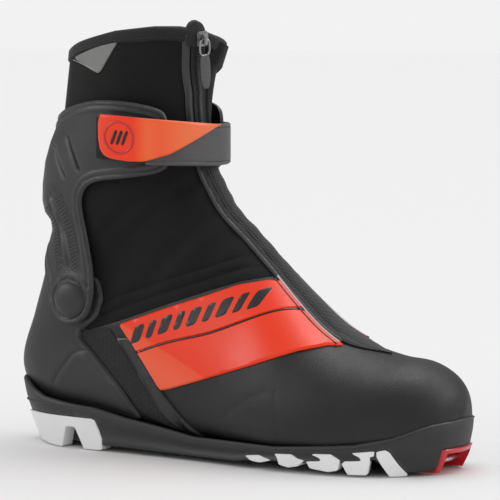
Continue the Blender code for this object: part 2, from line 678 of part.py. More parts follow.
def add_cuff():
    """Rigid cuff with its arms, bored for the pivot bushes."""
    levels = (71, 100, 122, 138, 144, 155, 172, 185, 197, 205, 214)
    turns = np.concatenate([np.linspace(32, 74, 4), np.linspace(90, 270, 19),
                            np.linspace(286, 328, 4)])
    cuff = cuff_layer("cuff", levels, turns, 0.0, CUFF_WALL, (CUFF_GREY, 0.6))
    combine(cuff, side_prism("cuff_outline", smooth_corners(CUFF_OUTLINE), -80, 80), 'INTERSECT')
    combine(cuff, rod("cuff_bore", PIVOT, 6.3, -60, 60, 'Y', sides=32), 'DIFFERENCE')


def smooth_corners(outline):
    """Round a closed outline lightly by cutting each corner twice."""
    points = np.array(outline, float)
    for _ in range(2):
        after = np.roll(points, -1, axis=0)
        cut = np.stack([points * 0.8 + after * 0.2, points * 0.2 + after * 0.8], axis=1)
        points = cut.reshape(-1, 2)
    return points


def add_cuff_lining():
    padding = band("cuff_padding", 13.0, 17.6, 10, 28, -6.5, -2.2, (SOFTSHELL, 0.95))
    combine(padding, rear_sector(), 'INTERSECT')


def add_collar():
    """Upper gaiter that turns with the cuff, its rim, zip and reflective patch."""
    region = collar_region()
    collar = band("gaiter_upper", 12.0, 17.9, 12, 30, -1.6, 0.0, (SOFTSHELL, 0.85))
    combine(collar, region, 'INTERSECT')
    band("collar_rim", 17.93, 18.0, 2, 30, -2.0, 0.8, (BLACK, 0.7))
    layer("reflective_patch", np.linspace(17.25, 17.85, 4)[:, None],
          reflective_edges(), LAYER_GAP, 1.2, (REFLECTIVE, 0.4))
    zipper_layer("zipper_tape", 14.9, 17.86, 6.5, 0.6, 1.2, (BLACK, 0.8))
    zipper_layer("zipper_teeth", 15.0, 17.8, 1.7, 1.5, 2.3, (STRAP_GREY, 0.4))


def reflective_edges():
    """Angles of a triangle that is wide under the rim and ends in a point below."""
    rows = np.linspace(0, 1, 4)[:, None]
    cols = np.linspace(0, 1, 7)[None, :]
    front = 92 + (84 - 92) * rows
    rear = 98 + (127 - 98) * rows
    return front + (rear - front) * cols


def zip_angle(u):
    """Angle of the zip at a station."""
    share = (np.asarray(u, float) - ZIP_LOW_U) / (ZIP_TOP_U - ZIP_LOW_U)
    return ZIP_LOW_ANGLE + (ZIP_TOP_ANGLE - ZIP_LOW_ANGLE) * share


def zipper_layer(name, first, last, half_angle, inner, outer, look):
    """Strip that follows the zip."""
    stations = np.linspace(first, last, 9)[:, None]
    angles = zip_angle(stations) + np.linspace(-half_angle, half_angle, 3)[None, :]
    return layer(name, stations, angles, inner, outer, look)


def add_pivots():
    """Bush, bolt and cap of the cuff pivot on each side."""
    inner, outer = CUFF_HALF_WIDTH, CUFF_HALF_WIDTH + CUFF_WALL
    for side, word in ((1, "lateral"), (-1, "medial")):
        turned("pivot_bush_" + word, [(4.6, outer), (6.0, outer), (6.0, inner + 0.1),
                                      (4.6, inner + 0.1), (4.6, outer)], side, (STEEL, 0.4, 1.0))
        turned("pivot_bolt_" + word, [(0, outer), (4.2, outer), (4.2, inner - 1.2),
                                      (0, inner - 1.2)], side, (STEEL, 0.3, 1.0))
        dome = [(CAP_RADIUS * math.cos(a), outer + GAP + 1.4 + 1.8 * math.sin(a))
                for a in np.linspace(math.pi / 2, 0, 5)]
        turned("pivot_cap_" + word, dome + [(CAP_RADIUS, outer + GAP), (0, outer + GAP)], side,
               (CUFF_GREY, 0.4))


# Strap

def strap_wall(turns, inset):
    """Columns of points along the strap at its low and top edge."""
    angles, tops, lows = np.array(STRAP_EDGES).T
    rows = []
    for share in (0.0, 1.0):
        row = []
        for angle in turns:
            c, s = math.cos(math.radians(angle)), math.sin(math.radians(angle))
            x = STRAP_MIDDLE[0] + (STRAP_HALF[0] + inset) * math.copysign(
                abs(c) ** (2 / STRAP_ROUNDNESS), c)
            y = (STRAP_HALF[1] + inset) * math.copysign(abs(s) ** (2 / STRAP_ROUNDNESS), s)
            z = np.interp(angle, angles, lows) * (1 - share) + np.interp(angle, angles, tops) * share
            row.append((x, y, z))
        rows.append(row)
    return np.array(rows)


def strap_layer(name, turns, inner, outer, look):
    walls = strap_wall(turns, outer), strap_wall(turns, inner)
    return add_object(name, mesh_from(name, *closed_slab(*walls)), *look)


def add_strap():
    """Strap with its pull end, and the anchor, pin and hook pad that hold it."""
    sleeve = (172.3, 195.7)
    strap = strap_layer("strap_band", np.linspace(-104, 80, 22), 0.0, STRAP_WALL,
                        (STRAP_GREY, 0.8))
    combine(strap, rod("strap_sleeve", STRAP_PIN, 3.6, *sleeve, 'Z'), 'UNION')
    combine(strap, rod("sleeve_bore", STRAP_PIN, 2.0, 150, 220, 'Z'), 'DIFFERENCE')
    pull = strap_layer("strap_pull", np.linspace(-105, -14, 12), STRAP_WALL + GAP,
                       STRAP_WALL + 1.5, (ORANGE, 0.35))
    combine(pull, side_prism("pull_outline", smooth_corners(STRAP_PULL), -80, 0), 'INTERSECT')
    rod("strap_pin", STRAP_PIN, 1.6, 167.5, 200.5, 'Z', (STEEL, 0.3, 1.0), sides=16)
    face = CUFF_HALF_WIDTH + CUFF_WALL + GAP
    x, y = STRAP_PIN
    anchor = block("strap_anchor", (x - 18, x - 2.5, face, face + 1.8, 168, 200), (BLACK, 0.5))
    for z_low, z_high in ((168, 171.8), (196.2, 200)):
        lug = block("anchor_lug", (x - 4, x + 4, face + 0.5, y + 3.2, z_low, z_high))
        combine(anchor, lug, 'UNION')
    combine(anchor, rod("anchor_bore", STRAP_PIN, 1.9, 150, 220, 'Z'), 'DIFFERENCE')
    cuff_layer("hook_pad", np.linspace(173.5, 202, 5), np.linspace(86, 112, 8),
               CUFF_WALL + GAP, CUFF_WALL + 1.2, (BLACK, 0.95))


# Zip slider and its pull

def zip_frame():
    """Origin on the body form at the slider, with axes across, down and out."""
    top = form_point(ZIP_TOP_U - 0.12, zip_angle(ZIP_TOP_U - 0.12))
    low = form_point(ZIP_LOW_U, ZIP_LOW_ANGLE)
    down = (low - top) / np.linalg.norm(low - top)
    out = form_normal(ZIP_TOP_U - 0.12, zip_angle(ZIP_TOP_U - 0.12))
    out = out - down * np.dot(out, down)
    out /= np.linalg.norm(out)
    across = np.cross(down, out)
    frame = Matrix([(*[float(v) for v in row], 0.0) for row in np.stack([across, down, out], 1)]
                   + [(0.0, 0.0, 0.0, 1.0)])
    return Matrix.Translation(Vector([float(v) * MM for v in top])) @ frame


def add_slider(frame):
    """Slider body on the teeth, with an eye for the pull wire."""
    slider = block("zip_slider", (-3.6, 3.6, -4.5, 4.5, 2.8, 5.4), (STEEL, 0.35, 1.0), 0.8)
    eye = block("slider_eye", (-1.2, 1.2, -2.6, 2.6, 4.6, SLIDER_EYE + 2.1), bevel=0.5)
    hole = rod("slider_hole", (0.0, 0.0), 1.3, -10, 10, 'Z', sides=16)
    hole.data.transform(Matrix.Translation((0, 0, SLIDER_EYE * MM))
                        @ Matrix.Rotation(math.radians(90), 4, 'Y'))
    combine(slider, eye, 'UNION')
    combine(slider, hole, 'DIFFERENCE')
    for piece in (slider, eye, hole):
        piece.data.transform(frame)


def add_pull(frame):
    """Wire loop through the slider's eye and the tapered tab that hangs on it."""
    half, length, height = 3.2, 9.5, SLIDER_EYE
    corners = [(-half, -0.1), (half, -0.1), (half, length), (-half, length)]
    path = smooth_corners(corners)
    curve = bpy.data.curves.new("pull_loop", 'CURVE')
    curve.dimensions = '3D'
    curve.bevel_depth = 0.6 * MM
    curve.bevel_resolution = 2
    spline = curve.splines.new('POLY')
    spline.points.add(len(path) - 1)
    for point, (across, down) in zip(spline.points, path):
        point.co = (across * MM, down * MM, height * MM, 1.0)
    spline.use_cyclic_u = True
    holder = bpy.data.objects.new("pull_wire", curve)
    CUTTERS.objects.link(holder)
    bpy.context.view_layer.update()
    mesh = bpy.data.meshes.new_from_object(
        holder.evaluated_get(bpy.context.evaluated_depsgraph_get()))
    bpy.data.objects.remove(holder, do_unlink=True)
    loop = add_object("pull_loop", mesh, STEEL, 0.35, 1.0)
    outline = [(-2.9, 10.4), (2.9, 10.4), (2.9, 24), (1.6, 29), (-1.6, 29), (-2.9, 24)]
    tab = plan_prism("pull_tab", smooth_corners(outline), height - 1.0, height + 1.0,
                     (STRAP_GREY, 0.7))
    for piece in (loop, tab):
        piece.data.transform(frame)


def carry(name, place, pieces):
    """Parent pieces to an empty on their joint's axis, without moving them."""
    axis = bpy.data.objects.new(name, None)
    PARTS.objects.link(axis)
    axis.location = Vector(place) * MM
    bpy.context.view_layer.update()
    for piece in pieces:
        child = bpy.data.objects[piece]
        child.parent = axis
        child.matrix_parent_inverse = axis.matrix_world.inverted()
    return axis


def build_boot():
    """Make every sub-part, then hang the moving ones on their axes."""
    add_upper()
    add_throat_pieces()
    add_lining()
    add_overlays()
    add_outsole()
    add_treads()
    add_toe_fitting()
    add_shank()
    add_cuff()
    add_cuff_lining()
    add_collar()
    add_pivots()
    add_strap()
    frame = zip_frame()
    add_slider(frame)
    add_pull(frame)
    carry("cuff_axis", (PIVOT[0], 0, PIVOT[1]), CUFF_PIECES)
    carry("strap_axis", (*STRAP_PIN, 184), ("strap_band", "strap_pull"))
    eye = frame @ Vector((0, 0, SLIDER_EYE * MM)) / MM
    carry("slider_axis", eye, ("zip_slider",))
    carry("pull_axis", eye, ("pull_loop", "pull_tab"))


build_boot()
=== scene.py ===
"""Looks of the cross country skate boot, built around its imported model.

Lengths here are millimetres, and MM turns them into metres. The frame is the model's own:
+X to the toe, +Y to the medial side, +Z up. The soft pieces lie on one body form, whose
stations run from the toe (0) to the collar (18). Angle 0 is its front ridge, 90 the lateral
side, -90 the medial side and 180 the back line.
"""
import json
import math

import bmesh
import bpy
import numpy as np
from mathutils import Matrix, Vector


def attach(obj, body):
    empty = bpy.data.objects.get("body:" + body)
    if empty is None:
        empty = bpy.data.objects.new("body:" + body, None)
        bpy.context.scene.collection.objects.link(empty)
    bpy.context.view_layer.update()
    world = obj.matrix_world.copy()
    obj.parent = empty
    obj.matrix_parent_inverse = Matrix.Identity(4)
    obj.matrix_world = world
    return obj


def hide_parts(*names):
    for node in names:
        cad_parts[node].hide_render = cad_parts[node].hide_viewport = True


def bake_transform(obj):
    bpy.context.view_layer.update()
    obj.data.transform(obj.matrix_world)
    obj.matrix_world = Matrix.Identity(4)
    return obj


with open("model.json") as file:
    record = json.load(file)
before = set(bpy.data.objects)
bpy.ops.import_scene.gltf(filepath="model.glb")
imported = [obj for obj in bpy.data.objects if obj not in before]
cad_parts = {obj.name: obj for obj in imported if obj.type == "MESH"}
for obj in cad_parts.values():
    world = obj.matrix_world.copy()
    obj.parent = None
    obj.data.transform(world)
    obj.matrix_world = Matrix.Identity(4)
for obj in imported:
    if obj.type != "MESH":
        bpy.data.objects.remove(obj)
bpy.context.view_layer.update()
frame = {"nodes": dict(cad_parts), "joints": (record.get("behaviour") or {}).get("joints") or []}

MM = 0.001
NODES = frame["nodes"]
PIVOT = (-94.0, 91.0)       # cuff pivot axis, side view (x, z)
CUFF_HALF_WIDTH = 40.5      # medial side
CUFF_NARROWING = 2.6        # how much closer the lateral side is
STUD_FREE_RADIUS = 19       # no studs this close to the pivot
PAD_SWELL = 0.0011          # most that the cuff's pad swells, in metres
PAD_VOXEL = 0.0016
PAD_FRAMES = 12
BOX_FACES = [[0, 1, 3, 2], [4, 5, 7, 6], [0, 1, 5, 4], [2, 3, 7, 6], [0, 2, 6, 4], [1, 3, 7, 5]]
CUFF_WALL = 2.5
STRAP_WALL = 2.4
STRAP_WIDTH = 26.0
ZIP_TOP_U, ZIP_TOP_ANGLE = 17.94, 24.4
ZIP_LOW_U, ZIP_LOW_ANGLE = 16.08, 10.6
SIDES = ((1, "lateral"), (-1, "medial"))

# Body form: front point (x, z), back point (x, z), half width, middle y,
# share of the way back where it is widest, roundness in front, roundness behind
SECTIONS = (
    ((151, 41), (151, 31), 6, 3, 0.55, 2.0, 2.2),
    ((149, 47), (149.5, 23), 13, 3, 0.60, 2.1, 3.0),
    ((144.5, 53), (145, 18.5), 22, 3.2, 0.62, 2.1, 3.5),
    ((136, 58.5), (137, 17), 31, 3.2, 0.66, 2.2, 4.0),
    ((123.5, 63), (124, 16), 40, 3, 0.70, 2.2, 4.5),
    ((107, 65), (106, 14.5), 46.5, 1.8, 0.72, 2.1, 5.0),
    ((87.5, 70.6), (86, 12), 49.5, 0.5, 0.72, 2.0, 5.0),
    ((68.5, 80.8), (62, 11), 49.5, -1, 0.72, 1.9, 5.0),
    ((49.2, 97.5), (34, 11), 46.5, -1, 0.72, 1.8, 5.0),
    ((30, 115), (2, 11.5), 40.5, 0, 0.70, 1.8, 4.5),
    ((12, 132), (-40, 14), 37, 0.6, 0.66, 1.8, 4.5),
    ((-3, 145), (-88, 20), 35, 1.2, 0.60, 1.9, 4.0),
    ((-12, 158), (-127, 23), 34, 1.5, 0.58, 2.0, 3.1),
    ((-19.5, 172), (-146.5, 42), 34.5, 1.5, 0.58, 2.0, 2.5),
    ((-22.5, 187), (-141, 70), 35.5, 1.5, 0.56, 2.0, 2.0),
    ((-23.5, 202), (-129.5, 106), 36.5, 1.5, 0.55, 2.0, 2.0),
    ((-22.5, 216), (-125.5, 143), 37, 1.5, 0.53, 2.0, 2.0),
    ((-19.5, 232), (-121.5, 186), 36.5, 1.5, 0.52, 2.0, 2.0),
    ((-14, 251), (-115.5, 242), 35.5, 1.5, 0.50, 2.0, 2.0),
)
TABLE = np.array([[*front, *back, *rest] for front, back, *rest in SECTIONS], float)
LAST_U = len(TABLE) - 1
TOE_BULGE = 1.0
# How far the collar's edge stands above the form's last section: angle, rise
COLLAR_RISE = ((-180, -5), (-130, -3.5), (-90, -2), (-50, -6), (-20, -7), (5, -4), (20, -1),
               (40, 2.4), (60, 3.7), (90, 3.3), (125, -0.6), (155, -5), (180, -5))

# Side-view lines and outlines (x, z)
ORANGE_OUTLINE = ((-30.7, 38.8), (-0.5, 47.7), (35.4, 58.7), (62.7, 68.2), (75.7, 71.0),
                  (81.8, 70.6), (88.7, 68.7), (76.9, 75.7), (59.7, 87.5), (48.8, 96.1),
                  (38.4, 105.6), (31, 106.1), (15.9, 103.4), (-6.3, 95.5), (-24, 89.9),
                  (-62.4, 76.8), (-48.6, 60.8))
ORANGE_GROOVE = ((-48.6, 60.8), (-35, 65.5), (-22.4, 69.2), (1.8, 74.6), (15, 79.3), (28.6, 84.5),
                 (38, 88), (45.4, 90), (52, 90.2), (57.5, 88.6))
# Front edge of the side panels: station, angle from the front ridge
PANEL_EDGE = ((8.75, 16), (8.58, 16.2), (8.08, 17), (7.6, 17.5), (7.22, 17.6), (6.86, 18),
              (6.42, 19), (6.0, 21.5), (5.8, 24))
FACING_OUTLINE = ((-64.2, 68.6), (-56.6, 60), (-40.4, 39), (-29, 25), (-14, 14.6), (-3.5, 12.8),
                  (-3.2, 13.4), (-28.9, 38.2), (-46.8, 60.2), (-54, 69.5))
MESH_OUTLINE = ((-93, 70), (-76, 55), (-58, 38), (-44, 23.4), (-15, 14.2), (-29.6, 25),
                (-41.2, 39), (-57.4, 60), (-70.2, 75))
COUNTER_OUTLINE = ((-160, 116), (-134, 115.5), (-120, 106.5), (-108, 104), (-88, 108), (-77, 103),
                   (-73.5, 92), (-78, 80), (-92.5, 69.6), (-77, 55.4), (-59, 38.4), (-45.5, 20.6),
                   (-56, 20), (-79, 24), (-102, 25), (-138, 25), (-170, 25), (-170, 116))
COUNTER_CREASE = ((-112, 39), (-106.5, 46), (-101.6, 51), (-95, 58), (-86, 60))
SPLIT_LINE = ((-190, 114), (-86, 72), (-62, 79), (-24, 92.2), (16, 105.7), (31, 108.5),
              (45, 110), (80, 130))
TOE_CREASES = (((16, 27), (26, 34), (37.5, 41.5), (50, 45)), ((58, 18), (57.5, 31), (55, 45)))
CUFF_OUTLINE = (
    (-29, 178), (-30.5, 171.5), (-36, 167.5), (-56, 164.5), (-74, 162.7), (-83, 159), (-87.3, 152),
    (-86, 141), (-81.5, 125), (-77.6, 108), (-77.5, 92), (-82, 80), (-94, 74.5), (-105, 78),
    (-112, 88), (-117, 104), (-126, 118), (-134, 122), (-160, 123.5), (-160, 193), (-124, 197),
    (-106, 204), (-88, 208.6), (-73, 211), (-53, 210.2), (-37, 207), (-31, 203),
)
CUFF_LEVELS = ((70, -130, 3.0), (100, -130, 2.8), (118, -127.5, 2.4), (130, -125.5, 2.1),
               (136, -126.5, 2.1), (141, -131.5, 2.1), (148, -133.5, 2.1), (158, -133.2, 2.1),
               (172, -131.0, 2.1), (184, -127.0, 2.05), (192, -123.2, 2.0), (199, -120.5, 2.0),
               (214, -118.5, 2.0))
CUFF_MIDDLE_X, CUFF_FRONT_X, CUFF_FRONT_ROUNDNESS = -68.0, -16.0, 2.2
CUFF_SLASHES = (((-111.5, 181), (-106, 173), (-99.6, 164)), ((-97.8, 188), (-92.6, 178.5),
                                                             (-87.7, 169)))
CUFF_RIDGE = ((-113, 150), (-108, 141), (-103, 131), (-99.5, 121), (-97, 113))
STRAP_MIDDLE, STRAP_HALF, STRAP_ROUNDNESS = (-62.0, 0.0), (45.6, 46.2), 2.15
STRAP_EDGES = ((-97, 203, 174), (-60, 200.5, 173), (0, 196.5, 171.5), (90, 196, 172),
               (105, 196, 172))   # angle round the leg, top z, bottom z
# Sole outline seen from above, lateral side first, and its edges in side view (x, z)
SOLE_PLAN = (
    (152, 3), (150, -10), (145, -20), (137, -29), (124, -37.7), (106, -45.2), (86, -49.7),
    (62, -50.8), (36, -47.8), (5, -43), (-35, -39), (-70, -37), (-100, -36), (-121, -32),
    (-137, -22), (-145, -8), (-145, 8), (-137, 22), (-121, 32), (-100, 36), (-70, 37),
    (-35, 39), (5, 42.5), (36, 45.5), (62, 48.5), (86, 49.7), (106, 48), (124, 43.5),
    (137, 35.5), (145, 27), (150, 16.5),
)
SOLE_STEPS = 12
SOLE_TOP = ((170, 33), (153, 31), (144, 29), (126, 21.5), (106, 17), (56, 13), (-5, 13),
            (-36, 17.5), (-56, 20), (-79, 24.4), (-100, 26), (-118, 28.5), (-130, 33),
            (-138, 38), (-170, 40))
SOLE_SEAM = (*SOLE_TOP[:9], (-79, 24.6), (-102, 25.8), (-170, 25))
SOLE_UNDER = ((170, 2), (125, 2), (117.5, 10.2), (112, 8.6), (100, 7.6), (78, 6.4), (55, 5.6),
              (38, 4.6), (26, 2.8), (-5, 2.6), (-60, 3.2), (-170, 3.2))
SOLE_FLOOR = ((152, 22), (140, 17), (106, 13.5), (62, 10.2), (2, 10.6), (-40, 13), (-88, 19),
              (-128, 22), (-170, 22))
NOTCH = ((127.0, -13.5, -5.0), (165.0, 22.5, 15.0))
HEEL_LUG = ((-170, 14), (-146, 16), (-140, 18.4), (-128, 19.2), (-78.5, 18.8), (-72.7, 7),
            (-72.7, 0.2), (-86, 0.2), (-93, 12.8), (-99.8, 13), (-103, 0.2), (-130, 0.2),
            (-141, 8), (-170, 12))
HEEL_SEAT = (*HEEL_LUG[:6], (-72.7, -3), (-170, -3))
FOREFOOT_LUGS = (
    ((118.3, 14.8), (122.8, 15.8), (124.8, 14.4), (131.3, 1.5), (131, 0.2), (124, 0.2),
     (118.2, 11.8)),
    ((104.6, 13.6), (117.2, 15), (117.0, 12.2), (114.8, 11.6), (115, 8.5), (113.6, 1.2),
     (102.8, 1.2), (99.4, 7.2), (101.2, 8.8), (110.4, 9.3), (109.4, 11.2)),
    ((80.2, 12.0), (93, 12.4), (98.6, 9.2), (97, 3.2), (91.3, 2.2), (80.3, 3.6), (77.8, 7.4),
     (87.4, 8.2), (86.2, 9.8)),
    ((56.6, 10.2), (68.2, 10.8), (72.3, 8.6), (76.8, 7.9), (72.3, 4.2), (66.2, 3.0),
     (59.9, 4.2), (58.4, 8.2)),
    ((35, 7.2), (45.1, 8.4), (49.4, 7.2), (54.8, 6.4), (46, 4.0), (39, 4.6)),
)
STRAP_PIN = (-50.0, 49.5)
PULL_OUTLINE = ((-94.8, 0.97), (-96.3, 0.83), (-96.2, 0.51), (-94.8, 0.28), (-91.8, 0.16),
                (-87.5, 0.10), (-74, 0.06), (-63.8, 0.07), (-54.5, 0.15), (-43, 0.26),
                (-30.5, 0.47), (-16.5, 0.70), (-3.5, 0.90), (3.5, 0.985), (4.5, 1.04),
                (-94, 1.04))   # angle round the leg, share of the strap's height


# Body form

def between(a, b, c, d, t):
    """Smooth curve from b to c for t from 0 to 1, with a before and d after them."""
    return 0.5 * (2 * b + (c - a) * t + (2 * a - 5 * b + 4 * c - d) * t ** 2
                  + (3 * b - a - 3 * c + d) * t ** 3)


def section(u):
    """The form's section values at station u, by a smooth curve through SECTIONS."""
    u = np.clip(u, 0, LAST_U)
    i = np.minimum(np.floor(u).astype(int), LAST_U - 1)
    t = (u - i)[..., None]
    a, b = TABLE[np.maximum(i - 1, 0)], TABLE[i]
    return between(a, b, TABLE[i + 1], TABLE[np.minimum(i + 2, LAST_U)], t)


def form_point(at):
    """Points on the form for rows of (station, angle). Stations under 0 close the toe."""
    u, turn = at[..., 0], np.radians(at[..., 1])
    fx, fz, bx, bz, half, middle, widest, front, back = np.moveaxis(section(u), -1, 0)
    power = np.where(np.cos(turn) > 0, front, back)
    along = np.abs(np.cos(turn)) ** (2 / power)
    across = np.sign(np.sin(turn)) * np.abs(np.sin(turn)) ** (2 / power)
    share = np.where(np.cos(turn) > 0, widest * (1 - along), widest + (1 - widest) * along)
    x, y, z = fx + (bx - fx) * share, middle - half * across, fz + (bz - fz) * share
    rise = np.interp(at[..., 1], *np.array(COLLAR_RISE, float).T)
    z = z + rise * ease(u, 16.6, LAST_U)
    scale = np.clip(1 + u, 0, 1)
    centre_z = (fz + bz) / 2
    return np.stack([x + TOE_BULGE * (1 - scale ** 2), middle + (y - middle) * scale,
                     centre_z + (z - centre_z) * scale], -1)


def form_normal(at):
    """Outward unit normals of the form, from points close by."""
    step_u, step_a = np.array([0.02, 0.0]), np.array([0.0, 0.8])
    low = at - step_u
    high = at + step_u
    high[..., 0] = np.minimum(high[..., 0], LAST_U)
    normal = np.cross(form_point(high) - form_point(low), form_point(at + step_a)
                      - form_point(at - step_a))
    return normal / (np.linalg.norm(normal, axis=-1, keepdims=True) + 1e-12)


def on_form(at, offset):
    """Points at a distance outside the form."""
    at = np.asarray(at, float)
    return form_point(at) + form_normal(at) * np.broadcast_to(offset, at.shape[:-1])[..., None]


def locate(x, z):
    """Station and angle of the lateral point with this side-view position."""
    trial = np.linspace(0, LAST_U, 1600)
    fx, fz, bx, bz, _, _, widest, front, back = np.moveaxis(section(trial), -1, 0)
    side = (bx - fx) * (z - fz) - (bz - fz) * (x - fx)
    share = ((x - fx) * (bx - fx) + (z - fz) * (bz - fz)) / ((bx - fx) ** 2 + (bz - fz) ** 2)
    k = np.nonzero((side[:-1] * side[1:] <= 0) & (share[:-1] > -0.2) & (share[:-1] < 1.2))[0][0]
    u = trial[k] + (trial[k + 1] - trial[k]) * side[k] / (side[k] - side[k + 1])
    share = min(max(share[k], 0.0), 1.0)
    if share < widest[k]:
        return u, math.degrees(math.acos(((widest[k] - share) / widest[k]) ** (front[k] / 2)))
    rest = (share - widest[k]) / (1 - widest[k])
    return u, 180 - math.degrees(math.acos(rest ** (back[k] / 2)))


def cuff_point(at, offset):
    """Points on the cuff's own form for rows of (height, turn), turn 90 lateral, 180 back."""
    z, turn = at[..., 0], np.radians(at[..., 1])
    heights, backs, powers = np.array(CUFF_LEVELS).T
    back = np.interp(z, heights, backs) - offset
    c, s = np.cos(turn), np.sin(turn)
    power = np.where(c < 0, np.interp(z, heights, powers), CUFF_FRONT_ROUNDNESS)
    reach = np.where(c < 0, back - CUFF_MIDDLE_X, CUFF_FRONT_X + offset - CUFF_MIDDLE_X)
    x = CUFF_MIDDLE_X + reach * np.abs(c) ** (2 / power)
    half = CUFF_HALF_WIDTH + offset - CUFF_NARROWING * (s > 0)
    y = -half * np.sign(s) * np.abs(s) ** (2 / power)
    return np.stack([x, y, z + 0 * x], -1)


def strap_point(at, offset):
    """Points along the strap for rows of (turn, height share), turn 0 in front."""
    turn = np.radians(at[..., 0])
    angles, tops, lows = np.array(STRAP_EDGES).T
    top, low = (np.interp(at[..., 0], angles, edge) for edge in (tops, lows))
    power = 2 / STRAP_ROUNDNESS
    c, s = np.cos(turn), np.sin(turn)
    x = STRAP_MIDDLE[0] + (STRAP_HALF[0] + offset) * np.sign(c) * np.abs(c) ** power
    half = STRAP_HALF[1] - 3.0 * ease(-at[..., 0], -60, 0)
    y = (half + offset) * np.sign(s) * np.abs(s) ** power
    return np.stack([x, y, low + (top - low) * at[..., 1]], -1)


# Shape helpers

def ease(value, low, high):
    """Smooth step from 0 at low to 1 at high."""
    t = np.clip((value - low) / (high - low), 0, 1)
    return t * t * (3 - 2 * t)


def bump(distance, half):
    """Round ridge: 1 on the line, 0 from half away."""
    return np.cos(np.clip(np.abs(distance) / half, 0, 1) * math.pi / 2) ** 2


def rounded(points, times=2, closed=True, share=0.22):
    """Smooth a line by cutting its corners."""
    points = np.array(points, float)
    for _ in range(times):
        if closed:
            after = np.roll(points, -1, axis=0)
            points = np.stack([points * (1 - share) + after * share,
                               points * share + after * (1 - share)], axis=1).reshape(-1, 2)
        else:
            body = np.stack([points[:-1] * (1 - share) + points[1:] * share,
                             points[:-1] * share + points[1:] * (1 - share)], 1).reshape(-1, 2)
            points = np.vstack([points[:1], body, points[-1:]])
    return points


def nearest(points, line):
    """Distance from side-view points to a line, and which side of it they are on."""
    best = np.full(len(points), 1e9)
    side = np.ones(len(points))
    for start, end in zip(line[:-1], line[1:]):
        step = end - start
        length = step @ step + 1e-12
        t = np.clip((points - start) @ step / length, 0, 1)
        away = points - start - t[:, None] * step
        gap = np.hypot(away[:, 0], away[:, 1])
        closer = gap < best
        best = np.where(closer, gap, best)
        turn = step[0] * (points[:, 1] - start[1]) - step[1] * (points[:, 0] - start[0])
        side = np.where(closer, np.where(turn >= 0, 1.0, -1.0), side)
    return best, side


def inside(points, outline):
    """Whether side-view points are inside a closed outline."""
    x, z = points.T
    found = np.zeros(len(points), bool)
    for (x0, z0), (x1, z1) in zip(outline, np.roll(outline, -1, axis=0)):
        crosses = (z0 > z) != (z1 > z)
        with np.errstate(divide="ignore", invalid="ignore"):
            where = x0 + (z - z0) * (x1 - x0) / (z1 - z0)
        found ^= crosses & (x < where)
    return found


def outline_field(place, outline):
    """Distance inside a side-view outline, negative outside, as a function of parameters."""
    closed = np.vstack([outline, outline[:1]])

    def field(at):
        seen = place(at, 0.0)[:, [0, 2]]
        gap, _ = nearest(seen, closed)
        return np.where(inside(seen, outline), gap, -gap)
    return field


def line_field(place, line):
    """Signed distance from a side-view line, as a function of parameters."""
    line = np.array(line, float)

    def field(at):
        gap, side = nearest(place(at, 0.0)[:, [0, 2]], line)
        return gap * side
    return field


def grid_faces(rows, cols):
    """Quads of a grid of points."""
    k = np.arange(rows * cols).reshape(rows, cols)
    return np.stack([k[:-1, :-1], k[:-1, 1:], k[1:, 1:], k[1:, :-1]], -1).reshape(-1, 4)


